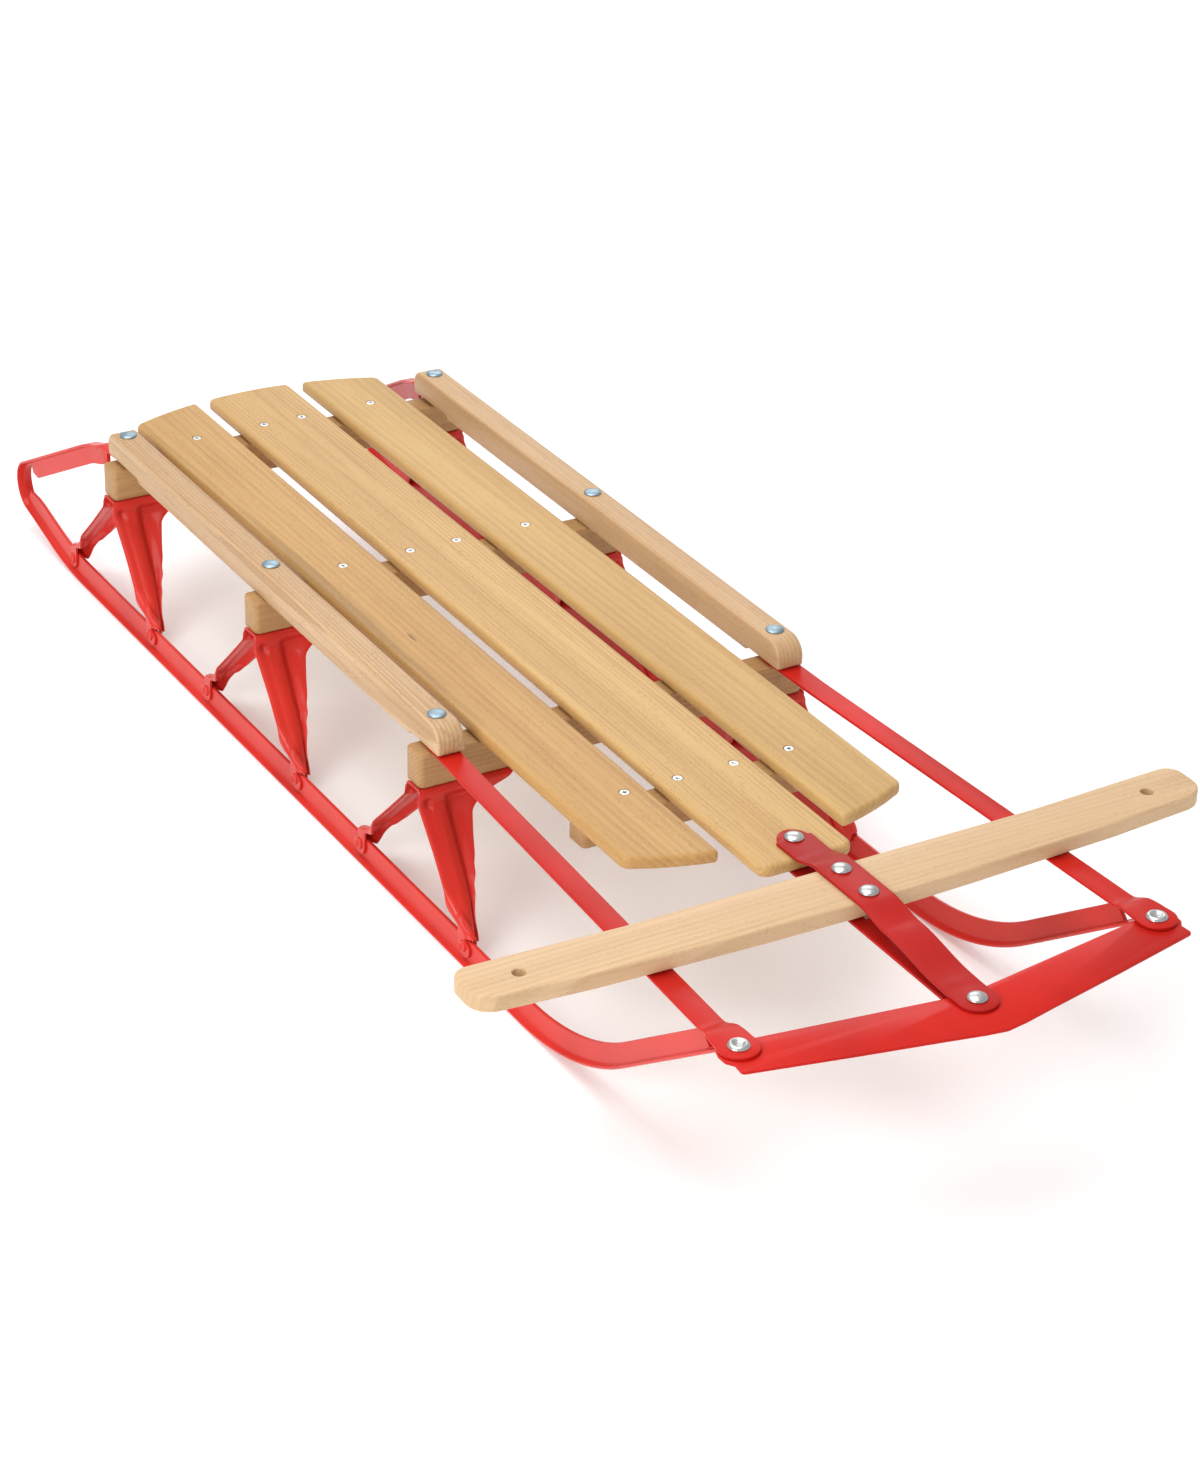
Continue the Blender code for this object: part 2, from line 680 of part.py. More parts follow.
def nut(name, x, y, top, look):
    """A hexagon nut with room for its bolt."""
    points, faces = [], []
    hole = (BOLT_R + GAP) / math.cos(math.pi / 6)
    for z in (top - GAP - NUT_TALL, top - GAP):
        for radius in (NUT_R, hole):
            for k in range(6):
                angle = math.pi / 3 * k
                points.append((x + radius * math.cos(angle), y + radius * math.sin(angle), z))
    for k in range(6):
        m = (k + 1) % 6
        faces.append((k, m, m + 12, k + 12))
        faces.append((k + 6, k + 18, m + 18, m + 6))
        faces.append((k, k + 6, m + 6, m))
        faces.append((k + 12, m + 12, m + 18, k + 18))
    return solid(name, points, faces, look)


def make_rail_bolts(zinc, rails, straps, bars, beams, knees):
    plate = BENCH_BASE - GAP - KNEE_SHEET
    for bench, x in BENCHES.items():
        for name, s in SIDES.items():
            y = s * RAIL_Y
            label = f"{bench}_{name}"
            foot = plate - NUT_TALL - 0.0025
            domed("rail_bolt_" + label, x, y, RAIL_TOP, foot, BOLT_R, BOLT_HEAD, zinc)
            nut("rail_nut_" + label, x, y, plate, zinc)
            tool = drill("bolt_hole_" + label, x, y, foot, RAIL_TOP + 0.002, BOLT_R + GAP)
            through = [rails[name], beams[bench], knees[bench, name]]
            if bench == "front":
                through.append(straps[name])
            if bench == "rear":
                through.append(bars[name, "rear"])
            for piece in through:
                cut(piece, tool)


def make_screws(zinc, slats, beams):
    """Countersunk screws. Their heads stay just under the boards' tops."""
    spots = {
        "rear": (BENCHES["rear"], 0.017, 0.079),
        "middle": (BENCHES["middle"], 0.020, 0.079),
        "cleat": (CLEAT_X, 0.0225, 0.066),
    }
    head = SLAT_TOP - 0.0004
    foot = BENCH_TOP - 0.013
    for row, (x, near, far) in spots.items():
        for name, s in SIDES.items():
            for place, y, slat in (("inner", s * near + DECK_Y, "middle"), ("outer", s * far, name)):
                label = f"{row}_{name}_{place}"
                shape = [(0, foot), (SCREW_R, foot + 0.003), (SCREW_R, head - 0.0026),
                         (SCREW_HEAD, head - 0.0005), (SCREW_HEAD, head)]
                turned("slat_screw_" + label, shape, upright(x, y), zinc, 8)
                wide = SCREW_HEAD + GAP
                slim = SCREW_R + GAP
                room = [(slim, foot - GAP), (slim, head - 0.0026), (wide, head - 0.0005 - GAP),
                        (wide, SLAT_TOP + 0.001)]
                tool = cutter("screw_hole_" + label,
                              turned("screw_hole", room, upright(x, y), None, 8))
                cut(slats[slat], tool)
                cut(beams[row], tool)


def make_steering_bolts(zinc, slats, handlebar, links, bumper, straps, bars):
    top, bottom = links
    under = LINK_LOW - STRAP_THICK / 2
    end = under - NUT_TALL - 0.0025
    on_top = {"pivot": SLAT_TOP, "rear": HANDLE_TOP, "front": HANDLE_TOP, "centre": BUMPER_TOP}
    names = {"pivot": "steering_pivot", "rear": "handlebar_rear", "front": "handlebar_front",
             "centre": "bumper_centre"}
    spots = {"pivot": PIVOT_X, **HANDLE_BOLTS, "centre": CENTRE_BOLT_X}
    for key, x in spots.items():
        seat = on_top[key] + GAP + STRAP_THICK
        pivot = (x, 0, seat)
        domed(names[key] + "_bolt", x, 0, seat, end, BOLT_R, BOLT_HEAD, zinc, pivot)
        nut(names[key] + "_nut", x, 0, under, zinc)
        tool = drill("hole_" + names[key], x, 0, end, seat + 0.001, BOLT_R + GAP)
        for piece in (top, bottom):
            cut(piece, tool)
        if key in HANDLE_BOLTS:
            cut(handlebar, tool)
        if key == "pivot":
            cut(slats["middle"], tool)
        if key == "centre":
            slot = drill("slot_centre", x, 0, end, seat, BOLT_R + SLIDE / 2, stretch=0.0016)
            cut(bumper, slot)
    for name, s in SIDES.items():
        y = s * RIVET_Y
        seat = BUMPER_TOP + GAP + STRAP_THICK
        strip_base = BUMPER_TOP - BUMPER_THICK - GAP - FLANGE_THICK
        base, low = seat + GAP, strip_base - GAP
        profile = [
            (RIVET_HEAD * 0.85, low - 0.0012), (RIVET_HEAD, low), (RIVET_R, low), (RIVET_R, base),
            (RIVET_HEAD, base), (RIVET_HEAD * 0.8, base + 0.0018), (0, base + 0.0010),
        ]
        turned("bumper_rivet_" + name, profile, upright(RIVET_X, y), zinc)
        close = drill("rivet_hole_" + name, RIVET_X, y, low, base, RIVET_R + GAP)
        loose = drill("rivet_play_" + name, RIVET_X, y, low, base, RIVET_R + SLIDE)
        slot = drill("rivet_slot_" + name, RIVET_X, y, low, base, RIVET_R + SLIDE * 0.7, stretch=0.0022)
        cut(bumper, close)
        cut(straps[name], close if name == "left" else loose)
        cut(bars[name, "front"], slot)


def drill_rope_holes(handlebar):
    for name, s in SIDES.items():
        tool = drill("rope_hole_" + name, ROPE_HOLE_X, s * ROPE_HOLE_Y, HANDLE_BASE - 0.002,
                     HANDLE_TOP + 0.002, ROPE_HOLE_R)
        cut(handlebar, tool)


def main():
    for thing in list(bpy.data.objects):
        bpy.data.objects.remove(thing)
    beech = paint("beech", (0.72, 0.48, 0.26), 0.42)
    pale_beech = paint("pale_beech", (0.80, 0.61, 0.38), 0.45)
    red = paint("red_enamel", (0.74, 0.04, 0.03), 0.32)
    zinc = paint("zinc", (0.66, 0.72, 0.76), 0.30, 1.0)
    slats = make_slats(beech)
    beams = make_beams(beech)
    rails = make_rails(beech)
    bars = make_runners(red)
    knees = make_knees(red, bars)
    straps = make_straps(red)
    bumper = make_bumper(red)
    handlebar = make_handlebar(pale_beech)
    links = make_links(red)
    make_rail_bolts(zinc, rails, straps, bars, beams, knees)
    make_screws(zinc, slats, beams)
    make_steering_bolts(zinc, slats, handlebar, links, bumper, straps, bars)
    drill_rope_holes(handlebar)


main()
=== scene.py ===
"""Looks for the steerable wooden sled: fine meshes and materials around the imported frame.

+X points forward, +Y to the rider's left and +Z up, in metres. Sizes come from the frame's boxes
where they can, and from the named values below where a box can't say them.
"""

import math

import bmesh
import bpy
import numpy as np
from mathutils import Matrix, Vector


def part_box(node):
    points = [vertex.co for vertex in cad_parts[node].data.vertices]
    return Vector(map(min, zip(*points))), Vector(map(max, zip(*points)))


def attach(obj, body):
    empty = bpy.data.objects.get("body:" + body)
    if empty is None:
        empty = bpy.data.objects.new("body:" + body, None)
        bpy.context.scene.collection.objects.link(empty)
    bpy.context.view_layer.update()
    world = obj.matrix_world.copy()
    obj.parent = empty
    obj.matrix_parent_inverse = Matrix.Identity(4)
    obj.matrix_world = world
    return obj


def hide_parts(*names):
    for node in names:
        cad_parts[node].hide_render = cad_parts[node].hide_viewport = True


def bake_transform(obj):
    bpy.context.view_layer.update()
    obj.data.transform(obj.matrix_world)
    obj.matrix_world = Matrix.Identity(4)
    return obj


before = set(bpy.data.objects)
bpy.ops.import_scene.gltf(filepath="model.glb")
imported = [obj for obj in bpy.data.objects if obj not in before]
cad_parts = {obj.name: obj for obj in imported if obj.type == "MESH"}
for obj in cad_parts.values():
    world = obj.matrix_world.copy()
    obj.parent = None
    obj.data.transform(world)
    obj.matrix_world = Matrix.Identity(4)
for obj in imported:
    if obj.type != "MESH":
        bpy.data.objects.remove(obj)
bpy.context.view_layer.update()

SIDES = {"left": 1, "right": -1}
BENCH_NAMES = ("rear", "middle", "front")


def low(node):
    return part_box(node)[0]


def high(node):
    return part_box(node)[1]


def middle(node):
    return (low(node) + high(node)) / 2


# Levels and places read from the frame
GAP = 0.0003
DECK_TOP = high("middle_slat").z
BENCH_TOP = high("middle_bench").z
BENCH_BASE = low("middle_bench").z
RAIL_TOP = high("left_rail").z
BENCH_X = {name: middle(name + "_bench").x for name in BENCH_NAMES}
RAIL_Y = middle("left_rail").y
RAIL_HALF = (high("left_rail").y - low("left_rail").y) / 2
DECK_Y = middle("middle_slat").y
MIDDLE_HALF = high("middle_slat").y - DECK_Y
SIDE_INNER, SIDE_OUTER = low("left_slat").y - DECK_Y, high("left_slat").y - DECK_Y
PIVOT_X = middle("steering_pivot_bolt").x
CENTRE_BOLT_X = middle("bumper_centre_bolt").x
RIVET_X, RIVET_Y = middle("bumper_rivet_left").x, middle("bumper_rivet_left").y
BUMPER_TOP, BUMPER_BASE = high("bumper").z, low("bumper").z
HANDLE_TOP, HANDLE_BASE = high("handlebar").z, low("handlebar").z
HANDLE_REACH = high("handlebar").y
LINK_LOW = middle("bottom_link").z

# Shapes that a box can't say
REAR_ARC, FRONT_ARC = 0.273, 0.240
SLAT_EDGE = 0.0034
RUNNER_Y = RIVET_Y
SHEET = 0.0016
STRAP_THICK = 0.0022
STRAP_HALF = 0.0090
STRAP_FALL = 0.0008
LINK_HALF = 0.0138
WEB_HALF = 0.0015
WEB_TALL, WEB_TALL_FRONT = 0.019, 0.0162
ARM_WEB = WEB_TALL - 0.002
BARE = 0.0
FLANGE_HALF, FLANGE_THICK, FLANGE_EDGE = 0.0065, 0.003, 0.0018
STRIP_TOP = BENCH_TOP + GAP + FLANGE_THICK
SWEEP_START_X, SWEEP_R, SWEEP_ANGLE = 0.2832, 0.240, math.radians(35)
WEB_FRONT_X, FRONT_BEND_R = 0.5164, 0.012
TAIL_ANGLE, TAIL_R, TAIL_FOOT_X = math.radians(12), 0.310, -0.4981
LOOP_R, LOOP_X, LOOP_Z = 0.0224, -0.5846, 0.0420
ARM_RISE = 0.0034
ARM_KNUCKLE = 0.2
ARM_ANGLE, ARM_BEND_R = math.radians(26.1), 0.025
ROPE_HOLE_X, ROPE_HOLE_Y, ROPE_HOLE_R = 0.4242, 0.2431, 0.0045
KNEE_SHIFT = 0.003
FOOT_X, FOOT_Z, FOOT_R = 0.0797, 0.0145, 0.0080
TAB_Z, TAB_ROWS = FOOT_Z - 0.0016, 16
KNEE_OUT = 0.1600
TAB_Y = RUNNER_Y + WEB_HALF + GAP + SHEET / 2
SHANK_R, SEAT_GAP = 0.0030, 0.0001


# Mesh helpers

def mesh_object(name, points, faces, look, sharp=38):
    """A smooth-shaded object whose edges stay sharp above an angle in degrees."""
    mesh = bpy.data.meshes.new(name)
    mesh.from_pydata([tuple(p) for p in points], [], faces)
    edit = bmesh.new()
    edit.from_mesh(mesh)
    bmesh.ops.remove_doubles(edit, verts=edit.verts, dist=1e-6)
    bmesh.ops.recalc_face_normals(edit, faces=edit.faces)
    edit.to_mesh(mesh)
    edit.free()
    mesh.shade_smooth()
    mesh.set_sharp_from_angle(angle=math.radians(sharp))
    made = bpy.data.objects.new(name, mesh)
    if look is not None:
        mesh.materials.append(look)
    bpy.context.scene.collection.objects.link(made)
    return made


def settle(piece, sharp=38):
    """Turns a piece's modifiers into its own mesh."""
    bpy.context.view_layer.update()
    graph = bpy.context.evaluated_depsgraph_get()
    done = bpy.data.meshes.new_from_object(piece.evaluated_get(graph))
    piece.modifiers.clear()
    piece.data = done
    done.shade_smooth()
    done.set_sharp_from_angle(angle=math.radians(sharp))
    return piece


def add_bevel(piece, width, segments, angle):
    edge = piece.modifiers.new("edges", "BEVEL")
    edge.width, edge.segments = width, segments
    edge.limit_method, edge.angle_limit = "ANGLE", math.radians(angle)


def bevelled(piece, width, segments=3, angle=50):
    """Rounds every edge that bends more than angle, in degrees."""
    add_bevel(piece, width, segments, angle)
    return settle(piece)


def subtract(piece, tools):
    """Cuts the tools out of a piece and deletes them."""
    for tool in tools:
        change = piece.modifiers.new("cut", "BOOLEAN")
        change.operation = "DIFFERENCE"
        change.solver = "EXACT"
        change.object = tool
    settle(piece)
    for tool in tools:
        bpy.data.objects.remove(tool)
    return piece


def fillet(corners, steps=8):
    """A closed outline from (x, y, radius) corners, each round one as an arc of steps chords."""
    outline = []
    count = len(corners)
    for i, (x, y, radius) in enumerate(corners):
        if not radius:
            outline.append((x, y))
            continue
        before, after = corners[i - 1], corners[(i + 1) % count]
        to_before = math.atan2(before[1] - y, before[0] - x)
        to_after = math.atan2(after[1] - y, after[0] - x)
        turn = (to_after - to_before + math.pi) % (2 * math.pi) - math.pi
        half = abs(turn) / 2
        reach = radius / math.sin(half)
        centre = to_before + turn / 2
        cx, cy = x + reach * math.cos(centre), y + reach * math.sin(centre)
        start = to_before - math.copysign(math.pi / 2, turn)
        sweep = -math.copysign(math.pi - 2 * half, turn)
        for k in range(steps + 1):
            angle = start + sweep * k / steps
            outline.append((cx + radius * math.cos(angle), cy + radius * math.sin(angle)))
    return outline


def prism(name, outline, base, top, look, place=lambda a, b, h: (a, b, h)):
    """An outline drawn out from base to top, in the directions that place gives."""
    count = len(outline)
    points = [place(x, y, h) for h in (base, top) for x, y in outline]
    faces = [tuple(range(count)), tuple(range(count, 2 * count))]
    for i in range(count):
        j = (i + 1) % count
        faces.append((i, j, j + count, i + count))
    return mesh_object(name, points, faces, look)


def turned(name, profile, place, look, sides=40):
    """A round solid: profile is (radius, height), closed on its axis at both ends."""
    points, rings, faces = [], [], []
    for radius, height in profile:
        if radius > 1e-7:
            rings.append(list(range(len(points), len(points) + sides)))
            for k in range(sides):
                angle = 2 * math.pi * k / sides
                points.append(place(radius * math.cos(angle), radius * math.sin(angle), height))
        else:
            rings.append([len(points)])
            points.append(place(0.0, 0.0, height))
    for a, b in zip(rings, rings[1:]):
        for k in range(sides):
            m = (k + 1) % sides
            if len(a) == 1 and len(b) == 1:
                continue
            if len(a) == 1:
                faces.append((a[0], b[k], b[m]))
            elif len(b) == 1:
                faces.append((a[k], a[m], b[0]))
            else:
                faces.append((a[k], a[m], b[m], b[k]))
    return mesh_object(name, points, faces, look)


def upright(x, y):
    """Places a shape on a vertical axis."""
    return lambda a, b, h: (x + a, y + b, h)


def outward(x, z, side):
    """Places a shape on an axis across the sled."""
    return lambda a, b, h: (x + a, side * h, z + b)


def on_edge(y):
    """Places an outline of (x, z) on edge, its thickness about y."""
    return lambda a, b, h: (a, y + h, b)


def swept(name, rings, look, sharp=38):
    """A closed bar through rings of points, all of one length."""
    count, size = len(rings), len(rings[0])
    points = [p for ring in rings for p in ring]
    faces = [tuple(range(size)), tuple(range(size * (count - 1), size * count))]
    for i in range(count - 1):
        for k in range(size):
            m = (k + 1) % size
            faces.append((size * i + k, size * i + m, size * (i + 1) + m, size * (i + 1) + k))
    return mesh_object(name, points, faces, look, sharp)


def between(a, b, t):
    return a + (b - a) * t


def ease(t):
    t = min(1.0, max(0.0, t))
    return t * t * (3 - 2 * t)


def eased(table, at):
    """Smooth reading of (key, value) pairs whose keys rise."""
    if at <= table[0][0]:
        return table[0][1]
    for (k0, v0), (k1, v1) in zip(table, table[1:]):
        if at <= k1:
            return between(v0, v1, ease((at - k0) / (k1 - k0)))
    return table[-1][1]


def straight(table, at):
    """Straight-line reading of (key, value) pairs."""
    keys, values = zip(*sorted(table))
    return float(np.interp(at, keys, values))


# Node helpers

class Nodes:
    """A short way to write a material's node tree."""

    def __init__(self, name):
        self.material = bpy.data.materials.new(name)
        self.material.use_nodes = True
        self.tree = self.material.node_tree
        self.shader = self.tree.nodes["Principled BSDF"]

    def add(self, kind, inputs=(), **settings):
        node = self.tree.nodes.new(kind)
        for key, value in settings.items():
            setattr(node, key, value)
        for socket, value in dict(inputs).items():
            self.put(node.inputs[socket], value)
        return node

    def put(self, socket, value):
        if isinstance(value, bpy.types.NodeSocket):
            self.tree.links.new(value, socket)
        else:
            socket.default_value = value

    def math(self, operation, a, b=0.0):
        return self.add("ShaderNodeMath", {0: a, 1: b}, operation=operation).outputs[0]

    def plus(self, a, b):
        return self.math("ADD", a, b)

    def minus(self, a, b):
        return self.math("SUBTRACT", a, b)

    def times(self, a, b):
        return self.math("MULTIPLY", a, b)

    def ramp(self, fac, start, end):
        """0 below start, 1 above end, smooth between."""
        node = self.add("ShaderNodeMapRange", {"Value": fac, "From Min": start, "From Max": end})
        node.interpolation_type = "SMOOTHSTEP"
        return node.outputs["Result"]

    def noise(self, vector, scale, detail=2.0, rough=0.5):
        node = self.add("ShaderNodeTexNoise", {"Vector": vector, "Scale": scale, "Detail": detail,
                                               "Roughness": rough})
        return node.outputs["Fac"]

    def mix(self, fac, a, b):
        node = self.add("ShaderNodeMix", data_type="RGBA", blend_type="MIX")
        self.put(node.inputs["Factor"], fac)
        self.put(node.inputs["A"], a if isinstance(a, bpy.types.NodeSocket) else (*a, 1.0))
        self.put(node.inputs["B"], b if isinstance(b, bpy.types.NodeSocket) else (*b, 1.0))
        return node.outputs["Result"]

    def stretched(self, vector, scale, shift=(0.0, 0.0, 0.0)):
        node = self.add("ShaderNodeMapping", {"Vector": vector, "Scale": scale, "Location": shift})
        return node.outputs["Vector"]

    def bump(self, height, strength, distance, after=None):
        node = self.add("ShaderNodeBump", {"Height": height, "Strength": strength,
                                           "Distance": distance})
        if after is not None:
            self.put(node.inputs["Normal"], after)
        return node.outputs["Normal"]

    def finish(self, colour, roughness, normal):
        self.put(self.shader.inputs["Base Color"], colour)
        self.put(self.shader.inputs["Roughness"], roughness)
        self.put(self.shader.inputs["Normal"], normal)
        return self.material


# Materials

def along_grain(n, place, grain):
    """The place with its X along the grain: a cross piece swaps X and Y."""
    if grain == "X":
        return place
    parts = n.add("ShaderNodeSeparateXYZ", {"Vector": place}).outputs
    swapped = n.add("ShaderNodeCombineXYZ", {"X": parts["Y"], "Y": parts["X"], "Z": parts["Z"]})
    return swapped.outputs["Vector"]


def growth_rings(n, along, pith, ring, shift, seed):
    """The dark late wood of each ring, and the fine ripple that disturbs the rings."""
    wander = n.noise(n.stretched(along, (1.5, 8.0, 8.0), shift), 1.0, 2.0, 0.5)
    ripple = n.noise(n.stretched(along, (9.0, 60.0, 60.0), shift), 1.0, 3.0, 0.6)
    cross = n.stretched(along, (0.0, 1.0, 1.0), (0.0, -pith[0], -pith[1]))
    radius = n.add("ShaderNodeVectorMath", {0: cross}, operation="LENGTH").outputs["Value"]
    radius = n.plus(radius, n.times(wander, 0.016))
    radius = n.plus(radius, n.times(ripple, 0.0016))
    turns = n.math("FRACT", n.math("DIVIDE", radius, ring))
    fall = n.minus(1.0, n.ramp(turns, 0.90, 1.0))
    late = n.times(n.ramp(turns, 0.10, 0.88), fall)
    uneven = n.noise(n.stretched(along, (1.1, 45.0, 45.0), (seed, 5.0, 2.0)), 1.0, 2.0)
    return n.times(late, n.ramp(uneven, 0.28, 0.62)), ripple


def ray_flecks(n, along, shift, seed):
    """Short dark flecks along the grain, thinned out in patches."""
    cells = n.stretched(along, (210.0, 1300.0, 1300.0), shift)
    spots = n.add("ShaderNodeTexVoronoi", {"Vector": cells, "Scale": 1.0}, feature="F1")
    fleck = n.minus(1.0, n.ramp(spots.outputs["Distance"], 0.14, 0.36))
    thin = n.noise(n.stretched(along, (30.0, 200.0, 200.0), (3.0, seed, 1.0)), 1.0, 2.0)
    return n.times(fleck, n.ramp(thin, 0.40, 0.60))


def dark_patch(n, place, ripple, mark, colour, deep):
    """The colour with one darker patch in it, soft and ragged at its edge."""
    centre, half, strength = mark
    offset = n.add("ShaderNodeVectorMath", {0: place, 1: centre}, operation="SUBTRACT")
    scaled = n.add("ShaderNodeVectorMath", {0: offset.outputs["Vector"],
                                            1: tuple(1 / h for h in half)}, operation="MULTIPLY")
    size = n.add("ShaderNodeVectorMath", {0: scaled.outputs["Vector"]}, operation="LENGTH")
    ragged = n.times(n.minus(ripple, 0.5), 1.2)
    soft = n.plus(size.outputs["Value"], ragged)
    mask = n.minus(1.0, n.ramp(soft, 0.35, 1.0))
    return n.mix(n.times(mask, strength), colour, deep)


def wood(name, light, dark, pith, ring, grain="X", seed=0.0, contrast=1.0, marks=(), saw=0.0):
    """Varnished beech. Rings run round a pith line along the grain; flecks and fibres follow it.

    pith is the pith line's place across the grain and ring the ring spacing. A mark is a darker
    patch: (centre, half sizes, strength) in the frame's X, Y, Z. saw is the depth of saw marks.
    """
    n = Nodes(name)
    place = n.add("ShaderNodeTexCoord").outputs["Object"]
    along = along_grain(n, place, grain)
    shift = (seed * 1.7, seed * 3.1, seed * 0.9)
    late, ripple = growth_rings(n, along, pith, ring, shift, seed)
    fleck = ray_flecks(n, along, shift, seed)
    fibre = n.noise(n.stretched(along, (16.0, 1400.0, 1400.0), shift), 1.0, 3.0, 0.65)
    streak = n.noise(n.stretched(along, (5.0, 240.0, 240.0), shift), 1.0, 4.0, 0.62)
    broad = n.noise(n.stretched(along, (1.6, 22.0, 22.0), (seed * 2.0, 0.0, 7.0)), 1.0, 2.0)
    deep = tuple(c * 0.55 for c in dark)
    middling = tuple(between(np.array(light), np.array(dark), 0.35))
    colour = n.mix(n.ramp(broad, 0.36, 0.66), light, middling)
    for mask, share, tone in ((late, 0.50, dark), (n.ramp(streak, 0.46, 0.74), 0.48, dark),
                              (n.ramp(fibre, 0.42, 0.72), 0.26, dark), (fleck, 0.55, deep)):
        colour = n.mix(n.times(mask, share * contrast), colour, tone)
    for mark in marks:
        colour = dark_patch(n, place, ripple, mark, colour, deep)
    height = n.minus(n.times(fibre, 0.6), n.times(fleck, 0.8))
    height = n.minus(height, n.times(late, 0.25))
    normal = n.bump(height, 0.22, 0.0006)
    if saw:
        cuts = n.noise(n.stretched(along, (260.0, 26.0, 40.0), shift), 1.0, 3.0, 0.7)
        normal = n.bump(cuts, saw, 0.0012, normal)
    rough = n.plus(0.42, n.times(fibre, 0.16))
    rough = n.plus(rough, n.times(fleck, 0.12))
    n.shader.inputs["Specular IOR Level"].default_value = 0.32
    n.shader.inputs["Coat Weight"].default_value = 0.10
    n.shader.inputs["Coat Roughness"].default_value = 0.30
    return n.finish(colour, rough, normal)


def enamel(name, colour, coat, seed=0.0):
    """Glossy enamel with a faint orange peel, uneven thickness and dust nibs."""
    n = Nodes(name)
    place = n.add("ShaderNodeTexCoord").outputs["Object"]
    cloud = n.noise(n.stretched(place, (9.0, 9.0, 9.0), (seed, 2.0, 4.0)), 1.0, 3.0)
    peel = n.noise(place, 420.0, 2.0, 0.4)
    wave = n.noise(place, 60.0, 2.0, 0.5)
    nib = n.add("ShaderNodeTexVoronoi", {"Vector": place, "Scale": 95.0}, feature="F1")
    speck = n.minus(1.0, n.ramp(nib.outputs["Distance"], 0.035, 0.075))
    deep = tuple(c * 0.80 for c in colour)
    dusty = tuple(min(1.0, c * 1.3 + 0.05) for c in colour)
    shade = n.mix(n.ramp(cloud, 0.35, 0.68), colour, deep)
    shade = n.mix(n.times(speck, 0.35), shade, dusty)
    height = n.plus(n.times(peel, 0.35), n.times(wave, 0.9))
    height = n.plus(height, n.times(speck, 1.6))
    normal = n.bump(height, 0.10, 0.0006)
    rough = n.plus(0.30, n.times(cloud, 0.10))
    n.shader.inputs["Specular IOR Level"].default_value = 0.13
    n.shader.inputs["Coat Weight"].default_value = coat
    n.shader.inputs["Coat Roughness"].default_value = 0.12
    return n.finish(shade, rough, normal)


def plate(name, bright, tinted, roughness):
    """Bright zinc plate: cloudy tint, fine scratches and a few dull spots."""
    n = Nodes(name)
    place = n.add("ShaderNodeTexCoord").outputs["Object"]
    cloud = n.noise(place, 210.0, 3.0)
    grit = n.noise(place, 1500.0, 3.0, 0.6)
    scratch = n.noise(n.stretched(place, (2600.0, 240.0, 900.0)), 1.0, 2.0)
    colour = n.mix(n.ramp(cloud, 0.36, 0.66), bright, tinted)
    rough = n.plus(roughness, n.times(n.ramp(grit, 0.4, 0.8), 0.16))
    height = n.plus(n.times(grit, 0.5), n.times(scratch, 0.5))
    normal = n.bump(height, 0.06, 0.0002)
    n.shader.inputs["Metallic"].default_value = 1.0
    return n.finish(colour, rough, normal)


def finished(piece, body, slot, *nodes):
    """Rides a piece on its body and hides the CAD nodes it stands for; slot is not used."""
    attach(piece, body)
    if nodes:
        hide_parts(*nodes)
    return piece


# Deck

def screw_head(x, y, turn, look):
    """A countersunk head with a cross recess, its point hidden in the board."""
    top = DECK_TOP - 0.0003
    profile = [(0, top - 0.0150), (0.0012, top - 0.0130), (0.0018, top - 0.0026), (0.0034, top - 0.0008),
               (0.0036, top - 0.0004), (0.0034, top), (0, top + 0.0001)]
    head = turned("screw_blank", profile, upright(x, y), look)
    arm, slim = 0.0022, 0.00048
    cross = [(arm, -slim), (arm, slim), (slim * 1.4, slim * 1.4)]
    for _ in range(3):
        cross += [(-b, a) for a, b in cross[-3:]]
    c, s = math.cos(turn), math.sin(turn)

    def place(a, b, h):
        narrow = 1.0 if h > top else 0.62
        return (x + narrow * (c * a - s * b), y + narrow * (s * a + c * b), h)

    tool = prism("cross", cross, top - 0.0014, top + 0.0006, None, place)
    return subtract(head, [tool])


def end_arc(of_y, y0, y1, steps=8):
    """Points on a board end's wide arc, without the two corners."""
    ys = [between(y0, y1, k / steps) for k in range(1, steps)]
    return [(of_y(y), y, 0) for y in ys]


def board_outlines():
    """Outlines of the middle board and of the left one, with y from the deck's middle."""
    front_centre = high("left_slat").x - math.sqrt(FRONT_ARC**2 - SIDE_INNER**2)
    apex = low("middle_slat").x

    def rear_x(y):
        return apex + REAR_ARC - math.sqrt(REAR_ARC**2 - y**2)

    def front_x(y):
        return front_centre + math.sqrt(FRONT_ARC**2 - y**2)

    m, a, b = MIDDLE_HALF, SIDE_INNER, SIDE_OUTER
    front = high("middle_slat").x
    centre = fillet([(front, -m, 0.009), (front, m, 0.009), (rear_x(m), m, 0.0060)]
                    + end_arc(rear_x, m * 0.72, -m * 0.72) + [(rear_x(m), -m, 0.0060)])
    side = fillet([(front_x(a), a, 0.0035)] + end_arc(front_x, a + 0.008, b - 0.012) +
                  [(front_x(b), b, 0.0085), (rear_x(b), b, 0.0075)] +
                  end_arc(rear_x, b - 0.010, a + 0.008) + [(rear_x(a), a, 0.0035)])
    return centre, side


def countersink(label, x, y):
    """A tool that cuts a screw's seat into a board."""
    top = DECK_TOP
    profile = [(0, top - 0.016), (0.0019, top - 0.016), (0.0019, top - 0.0032),
               (0.0041, top - 0.0006), (0.0044, top + 0.001), (0, top + 0.001)]
    return turned("sink_" + label, profile, upright(x, y), None, 28)


